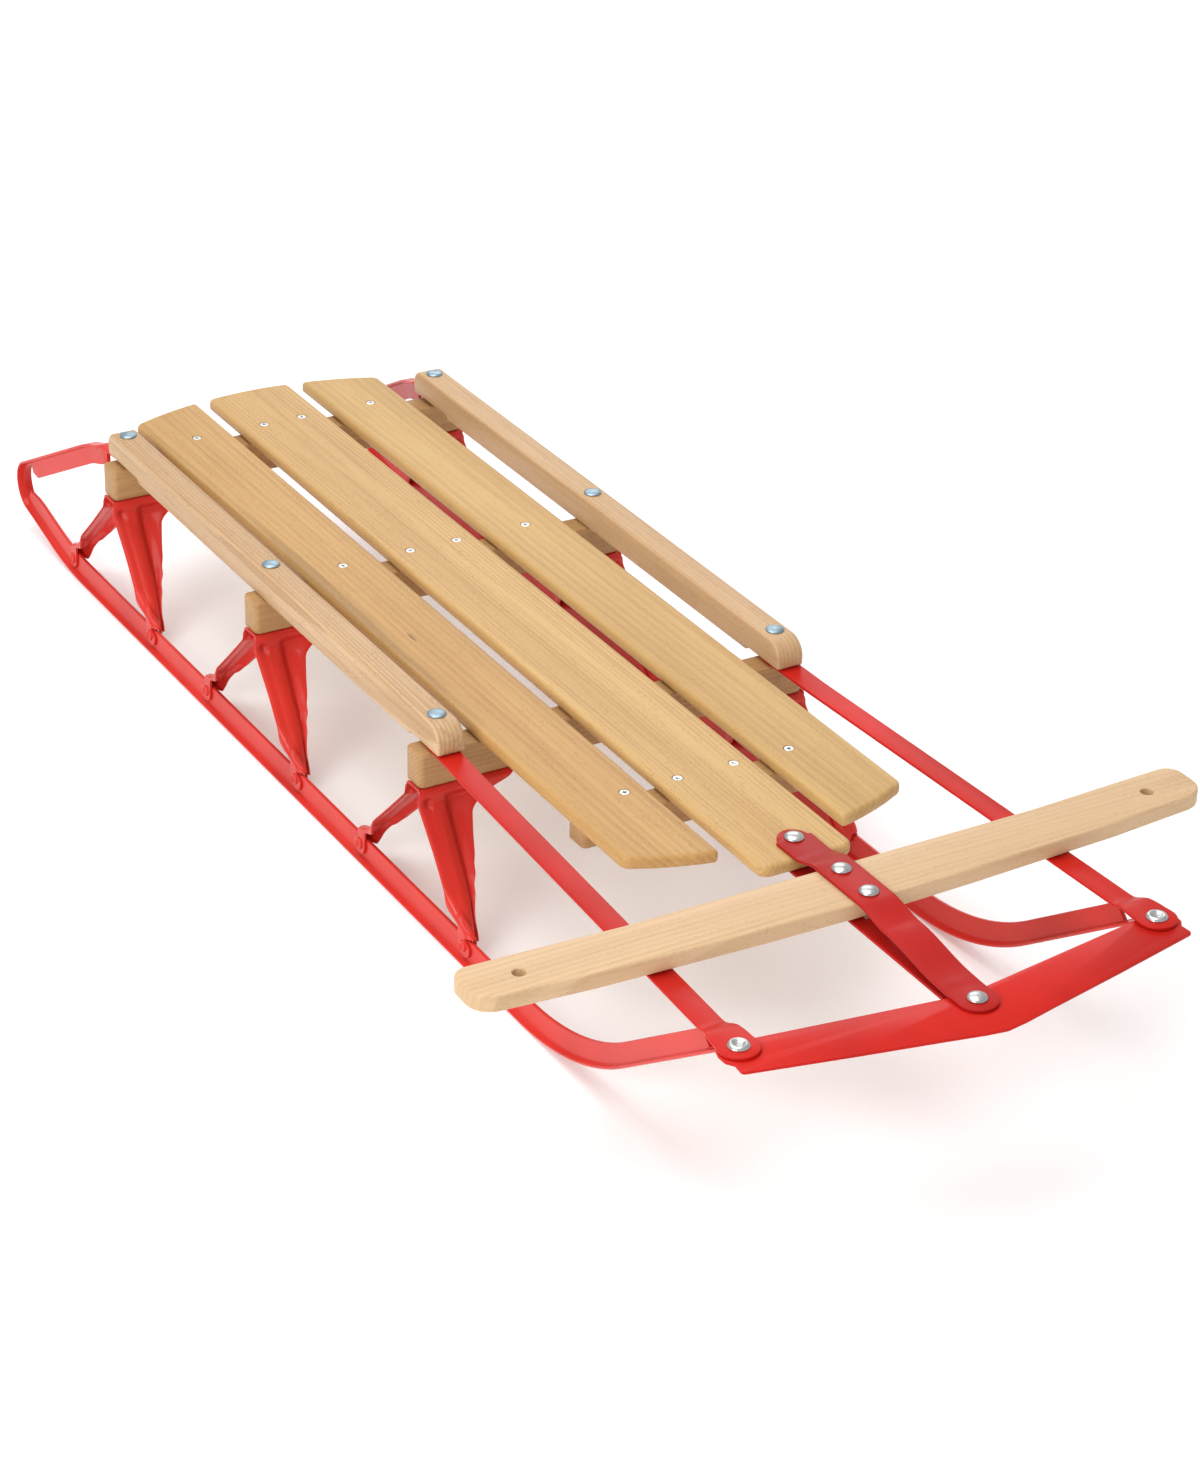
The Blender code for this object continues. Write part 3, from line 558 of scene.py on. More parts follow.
def make_boards(looks, zinc, places):
    """The three deck boards and their screws, in countersunk seats."""
    centre, side = board_outlines()
    outlines = {"middle": (centre, 1), "left": (side, 1), "right": (side, -1)}
    for name, (outline, s) in outlines.items():
        corners = [(x, DECK_Y + s * y) for x, y in outline]
        board = prism("board_" + name, corners, BENCH_TOP + GAP, DECK_TOP, looks[name])
        bevelled(board, SLAT_EDGE, 5)
        tools = [countersink(label, x, y) for label, (x, y, on) in places.items() if on == name]
        subtract(board, tools)
        finished(board, "sled", "beech", name + "_slat")
    for k, (label, (x, y, _)) in enumerate(places.items()):
        screw = screw_head(x, y, 0.35 + 0.83 * k, zinc)
        screw.name = "screw_" + label
        finished(screw, "sled", "zinc", "slat_screw_" + label)


def screw_places():
    """Each board screw's x, y and board, by its label."""
    places = {}
    for row in ("rear", "middle", "cleat"):
        for name in SIDES:
            for spot, on in (("inner", "middle"), ("outer", name)):
                label = f"{row}_{name}_{spot}"
                centre = middle("slat_screw_" + label)
                places[label] = (centre.x, centre.y, on)
    return places


def make_beams(looks):
    for name in ("rear_bench", "middle_bench", "front_bench", "front_cleat"):
        lo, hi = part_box(name)
        r = 0.0045
        outline = fillet([(lo.x, lo.y, r), (hi.x, lo.y, r), (hi.x, hi.y, r), (lo.x, hi.y, r)])
        beam = prism("beam_" + name, outline, lo.z, hi.z, looks[name])
        bevelled(beam, 0.0016, 3)
        finished(beam, "sled", "beech", name)


def make_rails(looks):
    """Side rails on edge, notched over the runner strips at the back and the straps at the front."""
    lo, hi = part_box("left_rail")
    base = BENCH_TOP + GAP
    rear_notch, front_notch = base + FLANGE_THICK + GAP, base + STRAP_THICK + GAP
    outline = fillet([
        (lo.x, rear_notch, 0.0035), (BENCH_X["rear"] + 0.040, rear_notch, 0),
        (BENCH_X["rear"] + 0.044, base, 0), (BENCH_X["front"] - 0.023, base, 0),
        (BENCH_X["front"] - 0.019, front_notch, 0), (hi.x, front_notch, 0.003),
        (hi.x, RAIL_TOP, 0.0150), (lo.x, RAIL_TOP, 0.0100),
    ], 12)
    for name, s in SIDES.items():
        rail = prism("rail_" + name, outline, -RAIL_HALF, RAIL_HALF, looks[name], on_edge(s * RAIL_Y))
        bevelled(rail, 0.0024, 4, 40)
        finished(rail, "sled", "beech", name + "_rail")


# Runners

def arm_path():
    """The bare strip on the rear bench and the arm that falls back from it to the loop."""
    loop_in = LOOP_X + LOOP_R * math.cos(math.pi / 2 + ARM_ANGLE)
    loop_in_z = LOOP_Z + LOOP_R * math.sin(math.pi / 2 + ARM_ANGLE)
    corner = loop_in + (STRIP_TOP - loop_in_z) / math.tan(ARM_ANGLE)
    tangent = ARM_BEND_R * math.tan(ARM_ANGLE / 2)
    path = [(BENCH_X["rear"] + 0.014, STRIP_TOP, BARE), (corner + tangent + 0.004, STRIP_TOP, BARE)]
    bend_z = STRIP_TOP - ARM_BEND_R
    for k in range(13):
        angle = math.pi / 2 + ARM_ANGLE * k / 12
        path.append((corner + tangent + ARM_BEND_R * math.cos(angle),
                     bend_z + ARM_BEND_R * math.sin(angle), BARE if k < 2 else ARM_WEB))
    end_x, end_z = between(corner, loop_in, 0.93), between(STRIP_TOP, loop_in_z, 0.93)
    top_x, top_z = path[-1][:2]
    for k in range(1, 24):
        t = k / 24
        rise = ARM_RISE * (ease(t / ARM_KNUCKLE) if t < ARM_KNUCKLE else (1 - t) / (1 - ARM_KNUCKLE))
        path.append((between(top_x, end_x, t), between(top_z, end_z, t) + rise, ARM_WEB))
    path.append((end_x, end_z, ARM_WEB * 0.72))
    path.append((end_x - 0.0010, end_z - 0.0010 * math.tan(ARM_ANGLE), BARE))
    return path


def loop_path():
    """The bare loop at the rear end, and the tail that leads from it down to the sole."""
    path = []
    turn = math.pi - ARM_ANGLE - TAIL_ANGLE
    for k in range(37):
        angle = math.pi / 2 + ARM_ANGLE + turn * k / 36
        tall = BARE if k < 31 else WEB_TALL * (0.62 if k == 31 else 0.84)
        path.append((LOOP_X + LOOP_R * math.cos(angle), LOOP_Z + LOOP_R * math.sin(angle), tall))
    x, z = path[-1][:2]
    for along, tall in ((0.006, WEB_TALL * 0.9), (0.012, WEB_TALL * 0.96), (0.022, WEB_TALL)):
        path.append((x + along * math.cos(TAIL_ANGLE), z - along * math.sin(TAIL_ANGLE), tall))
    return path


def sole_path():
    """The bend at the tail's foot, the straight sole and the bend into the upswept front."""
    path = []
    touch = TAIL_FOOT_X + TAIL_R * math.tan(TAIL_ANGLE / 2)
    for k in range(14, -1, -1):
        angle = TAIL_ANGLE * k / 14
        path.append((touch - TAIL_R * math.sin(angle), TAIL_R * (1 - math.cos(angle)), WEB_TALL))
    reach = SWEEP_START_X - touch
    for k in range(1, 60):
        path.append((touch + reach * k / 60, 0.0, WEB_TALL))
    for k in range(29):
        angle = SWEEP_ANGLE * k / 28
        path.append((SWEEP_START_X + SWEEP_R * math.sin(angle), SWEEP_R * (1 - math.cos(angle)),
                     between(WEB_TALL, WEB_TALL_FRONT, k / 28)))
    return path


def front_path(x, z):
    """From (x, z): the straight front with its web, then the bare strip under the bumper."""
    path = []
    rise = math.tan(SWEEP_ANGLE)
    for k in range(1, 9):
        along = (WEB_FRONT_X - x) * k / 8
        path.append((x + along, z + along * rise, WEB_TALL_FRONT))
    for past, tall in ((0.0008, WEB_TALL_FRONT * 0.5), (0.0014, BARE)):
        path.append((WEB_FRONT_X + past, z + (WEB_FRONT_X + past - x) * rise, tall))
    strip_z = BUMPER_BASE - GAP - FLANGE_THICK
    corner = x + (strip_z - z) / rise
    tangent = FRONT_BEND_R * math.tan(SWEEP_ANGLE / 2)
    for k in range(9):
        angle = SWEEP_ANGLE * (1 - k / 8)
        path.append((corner + tangent - FRONT_BEND_R * math.sin(angle),
                     strip_z - FRONT_BEND_R * (1 - math.cos(angle)), BARE))
    path.append((RIVET_X + 0.011, strip_z, BARE))
    return path


def runner_path():
    """The sole line, back end to front end: (x, z, web height), finely stepped."""
    path = arm_path() + loop_path() + sole_path()
    return path + front_path(*path[-1][:2])


def lean(x, z):
    """How far the arm behind the loop leans in on its way to the rail."""
    if z < LOOP_Z or x > 0:
        return 0.0
    return (RUNNER_Y - RAIL_Y) * min(1.0, max(0.0, (x - LOOP_X) / (BENCH_X["rear"] - LOOP_X)))


def runner_section(tall):
    """Half the upside-down T: (across, up) from the sole's middle to the web's top."""
    e, w = FLANGE_HALF, WEB_HALF
    top = FLANGE_THICK + max(tall - FLANGE_THICK, 0.0001)
    r = 0.0009 if tall else 0.00004
    root = 0.0009 if tall else 0.00002
    half = [(0.0022, 0.0), (e - 0.0012, 0.0), (e - 0.0004, 0.0003), (e, 0.0009), (e, FLANGE_EDGE - 0.0003),
            (e - 0.0004, FLANGE_EDGE + 0.0002), (w + root * 1.4, FLANGE_THICK - 0.0003),
            (w + root * 0.35, FLANGE_THICK + root * 0.2), (w, FLANGE_THICK + root * 0.9 if tall else top - r)]
    for k in range(4):
        angle = math.pi / 2 * k / 3
        half.append((w - r + r * math.cos(angle), top - r + r * math.sin(angle)))
    return half


def runner_rings(path, side):
    """The section at each point of the path, square to it."""
    rings = []
    for i, (x, z, tall) in enumerate(path):
        before, after = path[max(i - 1, 0)], path[min(i + 1, len(path) - 1)]
        length = math.dist(before[:2], after[:2])
        nx, nz = -(after[1] - before[1]) / length, (after[0] - before[0]) / length
        y = RUNNER_Y - lean(x, z)
        half = runner_section(tall)
        ring = half + [(-a, u) for a, u in reversed(half)]
        rings.append([(x + nx * u, side * (y + a), z + nz * u) for a, u in ring])
    return rings


def make_runners(red):
    path = runner_path()
    for name, s in SIDES.items():
        runner = swept("runner_" + name, runner_rings(path, s), red, 34)
        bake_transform(runner)
        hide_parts(name + "_runner_rear", name + "_runner_front")


# Knees

# A leg's heights, and its lines across the sheet as (z, place) pairs
LEG_TOP, LEG_END, LEG_BREAK = 0.0955, 0.0206, 0.0894
LEG_FACE_X, LEG_SLOPE = 0.0108, 1.0
LEG_OUTER = ((0.0989, 0.1592), (0.0894, 0.1600), (0.0640, 0.1610), (0.0530, 0.1620), (0.0440, 0.1629),
             (0.0350, 0.1628), (0.0300, 0.1616), (0.0270, 0.1611), (0.0205, 0.1611))
LEG_FLANK = ((0.0989, 0.0012), (0.0445, 0.0012), (0.0420, 0.0030), (0.0360, 0.0072), (0.0305, 0.0107),
             (0.0290, 0.0070), (0.0278, 0.0035))
LEG_NECK_X, LEG_NECK_Z = 0.0717, 0.0270
LEG_FOOT_FLARE, LEG_FOOT_Z = 0.0085, 0.0122
LEG_RIDGE = ((0.0989, 0.1408), (0.0850, 0.1422), (0.0687, 0.1445), (0.0560, 0.1464), (0.0445, 0.1477),
             (0.0319, 0.1497), (0.0205, 0.1522))
LEG_INNER = ((0.0989, 0.0840), (0.0965, 0.0850), (0.0850, 0.1130), (0.0801, 0.1215), (0.0675, 0.1274),
             (0.0490, 0.1348), (0.0400, 0.1390), (0.0313, 0.1440), (0.0205, 0.1485))
FLANK_COLUMNS, BEND_COLUMNS, BEAD_COLUMNS, VALLEY_COLUMNS, INNER_COLUMNS = 10, 7, 9, 12, 10
KNEE_COLUMNS = FLANK_COLUMNS + BEND_COLUMNS + BEAD_COLUMNS + VALLEY_COLUMNS + INNER_COLUMNS
KNEE_TOP = BENCH_BASE - GAP - SHEET / 2


def scallop(z):
    """Shallow bites along the lower part of a leg's inner edge."""
    bites = ((0.0525, 0.0036, 0.0010), (0.0430, 0.0040, 0.0018), (0.0315, 0.0065, 0.0016))
    return sum(deep * math.exp(-(((z - at) / wide) ** 4)) for at, wide, deep in bites)


def knee_row(z):
    """Mid-sheet points across a leg at one height, from the flank's free edge to the inner edge."""
    face = min(LEG_FACE_X + LEG_SLOPE * max(0.0, LEG_BREAK - z), FOOT_X + 0.0082)
    left = LEG_NECK_X if z < LEG_NECK_Z else face - straight(LEG_FLANK, z)
    outer, ridge = straight(LEG_OUTER, z), straight(LEG_RIDGE, z)
    inner = min(straight(LEG_INNER, z) + scallop(z), ridge - 0.0022)
    rx, ry = min(0.0065, 0.85 * (face - left)), min(0.0060, 0.45 * (outer - ridge))
    drop = min(0.0062, 0.58 * (ridge - inner))
    dip = 0.0070 * ease((0.0985 - z) / 0.016) * min(1.0, drop / 0.0040)
    crown = 0.0011 * ease((LEG_BREAK - z) / 0.01)
    flare = min(LEG_FOOT_FLARE * ease((0.0300 - z) / 0.0065), FOOT_X + 0.0080 - face)
    brow = face + flare
    row = [(between(left, brow - rx, k / FLANK_COLUMNS), outer) for k in range(FLANK_COLUMNS)]
    for k in range(BEND_COLUMNS):
        angle = math.pi / 2 * k / BEND_COLUMNS
        row.append((brow - rx + rx * math.sin(angle), outer - ry + ry * math.cos(angle)))
    for k in range(BEAD_COLUMNS):
        t = k / BEAD_COLUMNS
        row.append((between(brow, face, ease(t)) + crown * math.sin(math.pi * t),
                    between(outer - ry, ridge, t)))
    for k in range(VALLEY_COLUMNS):
        t = k / VALLEY_COLUMNS
        row.append((face - dip * (0.75 * t + 0.25 * ease(t)), ridge - drop * t))
    for k in range(INNER_COLUMNS):
        t = k / (INNER_COLUMNS - 1)
        row.append((face - dip + 0.60 * dip * ease(t), between(ridge - drop, inner, t)))
    return [(x, y, z) for x, y in row]


def plate_row(x):
    """The same columns across the flat saddle, with its outer rim turned up round the bench's end."""
    marks, places = [0], [KNEE_OUT - 0.0008]
    for wide, y in ((FLANK_COLUMNS, 0.1562), (BEND_COLUMNS, 0.1520), (BEAD_COLUMNS, 0.1410),
                    (VALLEY_COLUMNS, 0.1350), (INNER_COLUMNS - 1, 0.0840)):
        marks.append(marks[-1] + wide)
        places.append(y)
    row = []
    for k in range(KNEE_COLUMNS):
        y = float(np.interp(k, marks, places))
        lip = 0.0020 * ease((y - 0.1585) / 0.0007)
        row.append((x, y, KNEE_TOP + lip))
    return row


def shaped(grid):
    """Presses a dimple under each corner of the saddle and lets each foot down inboard of its bead."""
    x, y, z = grid[..., 0], grid[..., 1], grid[..., 2]
    dimple = np.exp(-(((z - 0.0890) / 0.0036) ** 2) - (((y - 0.1535) / 0.0028) ** 2)) * (np.abs(x) > 0.008)
    grid[..., 0] -= np.sign(x) * 0.0030 * dimple
    inboard = np.clip((0.1560 - y) / 0.0012, 0, 1) * np.clip((LEG_END + 0.014 - z) / 0.014, 0, 1)
    grid[..., 2] -= (LEG_END - LEG_FOOT_Z) * inboard
    return grid


def knee_grid():
    """Rows of a whole knee's saddle and legs, smoothed where the sheet bends, front leg last."""
    half = [plate_row(x) for x in np.linspace(0.0, LEG_FACE_X - 0.0012, 6)]
    heights = np.concatenate([np.linspace(LEG_TOP + 0.001, 0.084, 10), np.linspace(0.0825, LEG_END, 50)])
    half += [knee_row(float(z)) for z in heights]
    grid = np.array([[(-x, y, z) for x, y, z in row] for row in reversed(half[1:])] + half)
    for _ in range(2):
        soft = grid.copy()
        soft[1:-1] = 0.25 * grid[:-2] + 0.5 * grid[1:-1] + 0.25 * grid[2:]
        grid = soft
    wide = grid.copy()
    wide[:, 1:-1] = 0.25 * grid[:, :-2] + 0.5 * grid[:, 1:-1] + 0.25 * grid[:, 2:]
    return shaped(wide)


def add_tab(points, faces, base, end):
    """Adds rows below one foot's flank, which narrow to a half circle round the rivet."""
    above = [base + j for j in range(FLANK_COLUMNS + 1)]
    first, last = points[above[0]], points[above[-1]]
    for i in range(1, TAB_ROWS + 1):
        z = between(LEG_END, TAB_Z - FOOT_R * 0.995, math.sin(math.pi / 2 * i / TAB_ROWS))
        drop = max(0.0, TAB_Z - z)
        half = math.sqrt(max(FOOT_R**2 - drop**2, 1e-9))
        blend_in = ease(i / 5)
        row = []
        for j in range(FLANK_COLUMNS + 1):
            t = j / FLANK_COLUMNS
            wanted = end * (FOOT_X + 0.0008 - half + 2 * half * t)
            x = between(between(first[0], last[0], t), wanted, blend_in)
            row.append(len(points))
            points.append((x, TAB_Y, z))
        for j in range(FLANK_COLUMNS):
            faces.append((above[j], above[j + 1], row[j + 1], row[j]))
        above = row


def make_knee(name, x0, side, red):
    """A whole knee of pressed sheet, its legs' tabs included."""
    grid = knee_grid()
    rows, columns = grid.shape[:2]
    points = [tuple(p) for p in grid.reshape(-1, 3)]
    faces = [(i * columns + j, i * columns + j + 1, (i + 1) * columns + j + 1, (i + 1) * columns + j)
             for i in range(rows - 1) for j in range(columns - 1)]
    for end, base in ((-1, 0), (1, (rows - 1) * columns)):
        add_tab(points, faces, base, end)
    placed = [(x0 + x, side * y, z) for x, y, z in points]
    knee = mesh_object(name, placed, faces, red, 60)
    thick = knee.modifiers.new("sheet", "SOLIDIFY")
    thick.thickness = SHEET
    thick.offset = 0.0
    thick.use_even_offset = False
    add_bevel(knee, 0.0004, 2, 55)
    return settle(knee, 40)


def foot_rivet(name, x, side, red):
    """A formed rivet head on the tab, dished, and its plain head behind the web."""
    face = TAB_Y + SHEET / 2
    back = RUNNER_Y - WEB_HALF
    profile = [(0, back - 0.0016), (0.0026, back - 0.0014), (0.0040, back - 0.0004), (0.0042, back),
               (0.0021, back), (0.0021, face), (0.0044, face), (0.0044, face + 0.0005),
               (0.0038, face + 0.0013), (0.0029, face + 0.0015), (0.0022, face + 0.0009),
               (0.0010, face + 0.0005), (0, face + 0.0005)]
    return turned(name, profile, outward(x, FOOT_Z - 0.0010, side), red, 32)


def make_knees(red):
    for bench in BENCH_NAMES:
        x0 = BENCH_X[bench] + KNEE_SHIFT
        for name, s in SIDES.items():
            knee = make_knee(f"knee_sheet_{bench}_{name}", x0, s, red)
            finished(knee, "sled", "red_enamel", f"knee_{bench}_{name}")
            for end, label in ((-1, "back"), (1, "fore")):
                rivet = foot_rivet(f"foot_rivet_{bench}_{name}_{label}", x0 + end * FOOT_X, s, red)
                finished(rivet, "sled", "red_enamel")


# Steering

def flat_bar(name, stations, thick, look):
    """A flat bar with softened edges: each station is (x, y, z, half width, across unit vector)."""
    t = thick / 2
    rings = []
    for x, y, z, half, (ax, ay) in stations:
        r = min(0.0006, half * 0.4)
        section = []
        for cx, cz, quarter in ((half - r, t - r, 0), (-(half - r), t - r, 1), (-(half - r), -(t - r), 2),
                                (half - r, -(t - r), 3)):
            for k in range(4):
                angle = math.pi / 2 * (quarter + k / 3)
                section.append((cx + r * math.cos(angle), cz + r * math.sin(angle)))
        rings.append([(x + a * ax, y + a * ay, z + u) for a, u in section])
    return swept(name, rings, look)


def lobed_bar(name, start, end, level, width, end_r, thick, look, count=120):
    """A flat bar from start to end in plan, round past both points. level and width are functions."""
    length = math.dist(start, end)
    ux, uy = (end[0] - start[0]) / length, (end[1] - start[1]) / length
    stations = []

    def add(along, half):
        spot = (start[0] + ux * along, start[1] + uy * along)
        stations.append((*spot, level(along), half, (-uy, ux)))

    steps = 16
    for k in range(steps):
        angle = math.pi / 2 * (k + 0.3) / (steps + 0.3)
        add(-end_r[0] * math.cos(angle), end_r[0] * math.sin(angle))
    for k in range(count + 1):
        along = length * k / count
        add(along, width(along))
    for k in reversed(range(steps)):
        angle = math.pi / 2 * (k + 0.3) / (steps + 0.3)
        add(length + end_r[1] * math.cos(angle), end_r[1] * math.sin(angle))
    return flat_bar(name, stations, thick, look)


def make_straps(red):
    rear_z = BENCH_TOP + GAP + STRAP_THICK / 2
    low_z = rear_z - STRAP_FALL
    end_z = BUMPER_TOP + GAP + STRAP_THICK / 2
    for name, s in SIDES.items():
        start, end = (BENCH_X["front"], s * RAIL_Y), (RIVET_X, s * RIVET_Y)
        length = math.dist(start, end)
        heights = ((0.02, rear_z), (0.06, low_z), (length - 0.034, low_z), (length - 0.020, end_z))
        widths = ((length - 0.036, STRAP_HALF), (length - 0.010, 0.0130), (length, 0.0138))
        strap = lobed_bar("strap_" + name, start, end, lambda a, h=heights: eased(h, a),
                          lambda a, w=widths: eased(w, a), (STRAP_HALF, 0.0138), STRAP_THICK, red)
        finished(strap, "strap_" + name, "red_enamel", name + "_strap")


def make_bumper(red):
    half = [
        (0.5391, 0.1500, 0), (0.5342, 0.1520, 0.003), (0.5325, 0.1585, 0.004), (0.5342, 0.1655, 0.004),
        (0.5397, 0.1712, 0.004), (0.5464, 0.1732, 0.004), (0.5542, 0.1728, 0.003), (0.5592, 0.1692, 0.0015),
        (0.5692, 0.1700, 0.003), (0.5850, 0.1000, 0), (0.5978, 0.0400, 0), (0.6034, 0.0150, 0),
    ]
    right = [(x, -y, r) for x, y, r in reversed(half)]
    outline = fillet(half + [(0.6057, 0.0, 0)] + right + [(0.5610, 0.0, 0)], 6)
    bumper = prism("bumper_bar", outline, BUMPER_BASE, BUMPER_TOP, red)
    bevelled(bumper, 0.0006, 2, 50)
    finished(bumper, "bumper_bar", "red_enamel", "bumper")


def make_handlebar(look):
    half = [
        (0.4069, 0.160, 0), (0.4029, 0.2400, 0), (0.4014, HANDLE_REACH, 0.012),
        (0.4409, HANDLE_REACH, 0.017), (0.4479, 0.200, 0), (0.4529, 0.080, 0),
    ]
    left = [(x, -y, r) for x, y, r in reversed(half)]
    outline = fillet([(0.4074, 0.0, 0)] + half + [(0.4544, 0.0, 0)] + left, 14)
    bar = prism("handle_bar", outline, HANDLE_BASE, HANDLE_TOP, look)
    bevelled(bar, 0.0017, 3, 40)
    tools = []
    for name, s in SIDES.items():
        r = ROPE_HOLE_R
        shape = [(0, HANDLE_BASE - 0.002), (r + 0.0028, HANDLE_BASE - 0.002), (r, HANDLE_BASE + 0.0007),
                 (r, HANDLE_TOP - 0.0006), (r + 0.0026, HANDLE_TOP + 0.002), (0, HANDLE_TOP + 0.002)]
        tools.append(turned("rope_hole", shape, upright(ROPE_HOLE_X, s * ROPE_HOLE_Y), None, 40))
    subtract(bar, tools)
    finished(bar, "steering", "pale_beech", "handlebar")


def make_links(red):
    on_slat = DECK_TOP + GAP + STRAP_THICK / 2
    on_handle = HANDLE_TOP + GAP + STRAP_THICK / 2
    on_bumper = BUMPER_TOP + GAP + STRAP_THICK / 2
    length = CENTRE_BOLT_X - PIVOT_X
    heights = ((0.022, on_slat), (0.046, on_handle), (0.096, on_handle), (0.128, on_handle - 0.0046),
               (length - 0.024, on_bumper + 0.0004), (length - 0.014, on_bumper))
    widths = ((0.0, 0.0140), (0.024, LINK_HALF), (length - 0.02, LINK_HALF), (length, 0.0140))
    start, end = (PIVOT_X, 0.0), (CENTRE_BOLT_X, 0.0)
    top = lobed_bar("link_top", start, end, lambda a: eased(heights, a), lambda a: eased(widths, a),
                    (0.0115, 0.0140), STRAP_THICK, red, 160)
    finished(top, "steering", "red_enamel", "top_link")
    under = lobed_bar("link_bottom", start, end, lambda a: LINK_LOW, lambda a: 0.0130, (0.013, 0.013),
                      STRAP_THICK, red, 40)
    finished(under, "steering", "red_enamel", "bottom_link")


# Fasteners

def dome(radius, tall, base, rim=0.0008, steps=8):
    """Profile of a domed head from its rim up to its middle."""
    profile = [(radius * 0.97, base), (radius, base + rim * 0.4), (radius, base + rim)]
    for k in range(1, steps):
        angle = math.pi / 2 * k / steps
        profile.append((radius * math.cos(angle) * 0.985, base + rim + (tall - rim) * math.sin(angle)))
    return profile + [(0, base + tall)]


def thread(radius, foot, top, pitch=0.0011):
    """Profile of a threaded end from its foot up, as a stack of ridges."""
    profile = [(0, foot), (radius * 0.72, foot), (radius * 0.86, foot + 0.0005)]
    z = foot + 0.0006
    while z + pitch < top:
        profile += [(radius, z + pitch * 0.35), (radius * 0.86, z + pitch * 0.9)]
        z += pitch
    return profile + [(radius * 0.86, top)]


def bolt(name, node, look, seat, radius, tall):
    """A domed bolt in its CAD place, with a threaded end."""
    centre, lo = middle(node), low(node)
    profile = thread(SHANK_R, lo.z, lo.z + 0.0100) + [(SHANK_R, lo.z + 0.0102), (SHANK_R, seat)]
    profile += dome(radius, tall, seat)
    return turned(name, profile, upright(centre.x, centre.y), look)


def hex_nut(name, node, look):
    """A hexagon nut with rounded-off corners and a bore."""
    lo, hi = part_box(node)
    centre = (lo + hi) / 2
    across = (hi.x - lo.x) / 2
    bore = 0.0034
    place = upright(centre.x, centre.y)
    corners = [(across * math.cos(math.pi / 3 * k), across * math.sin(math.pi / 3 * k))
               for k in range(6)]
    body = prism(name, corners, lo.z, hi.z, look, place)
    bevelled(body, 0.0005, 2, 40)
    hole = turned("bore", [(0, lo.z - 0.001), (bore + 0.0014, lo.z - 0.001), (bore, lo.z + 0.0006),
                           (bore, hi.z - 0.0006), (bore + 0.0014, hi.z + 0.001), (0, hi.z + 0.001)],
                  place, None, 32)
    return subtract(body, [hole])


def make_rail_bolts(zinc):
    """Carriage bolts and their nuts, through each rail and bench."""
    for bench in BENCH_NAMES:
        for name in SIDES:
            label = f"{bench}_{name}"
            head = bolt("carriage_bolt_" + label, "rail_bolt_" + label, zinc, RAIL_TOP, 0.0068, 0.0024)
            finished(head, "sled", "zinc", "rail_bolt_" + label)
            nut = hex_nut("nut_" + label, "rail_nut_" + label, zinc)
            finished(nut, "sled", "zinc", "rail_nut_" + label)


def make_link_bolts(zinc):
    """The four bolts along the links, and their nuts."""
    seats = {
        "steering_pivot": (DECK_TOP, "sled"), "handlebar_rear": (HANDLE_TOP, "steering"),
        "handlebar_front": (HANDLE_TOP, "steering"), "bumper_centre": (BUMPER_TOP, "steering"),
    }
    for key, (level, body) in seats.items():
        seat = level + GAP + STRAP_THICK + SEAT_GAP
        head = bolt("dome_bolt_" + key, key + "_bolt", zinc, seat, 0.0068, 0.0032)
        finished(head, body, "zinc", key + "_bolt")
        finished(hex_nut("dome_nut_" + key, key + "_nut", zinc), body, "zinc", key + "_nut")


def make_bumper_rivets(zinc):
    """Dished rivets through strap, bumper and runner end."""
    for name, s in SIDES.items():
        lo = low("bumper_rivet_" + name)
        top = BUMPER_TOP + GAP + STRAP_THICK + SEAT_GAP
        foot = BUMPER_BASE - FLANGE_THICK - 2 * GAP
        profile = [(0, lo.z), (0.0052, lo.z), (0.0070, foot - 0.0005), (0.0072, foot), (0.0034, foot),
                   (0.0034, top), (0.0071, top), (0.0073, top + 0.0005), (0.0066, top + 0.0016),
                   (0.0054, top + 0.0023), (0.0043, top + 0.0022), (0.0034, top + 0.0014),
                   (0.0018, top + 0.0008), (0, top + 0.0007)]
        rivet = turned("bumper_pin_" + name, profile, upright(RIVET_X, s * RIVET_Y), zinc, 48)
        finished(rivet, "bumper_bar", "zinc", "bumper_rivet_" + name)


# Studio

WORLD_STRENGTH = 0.60
FLOOR_GLOW = 0.20
FLOOR_REACH, FLOOR_LEVEL = 12.0, -0.0004
LIGHTS = (
    ("overhead", (-0.3, -0.4, 2.6), (2.6, 2.0), 46.0, (1.0, 1.0, 1.0)),
    ("front_left", (1.4, -2.6, 1.5), (1.6, 1.2), 44.0, (1.0, 0.99, 0.97)),
    ("back", (-2.6, 1.6, 1.8), (1.6, 1.2), 14.0, (0.97, 0.985, 1.0)),
)


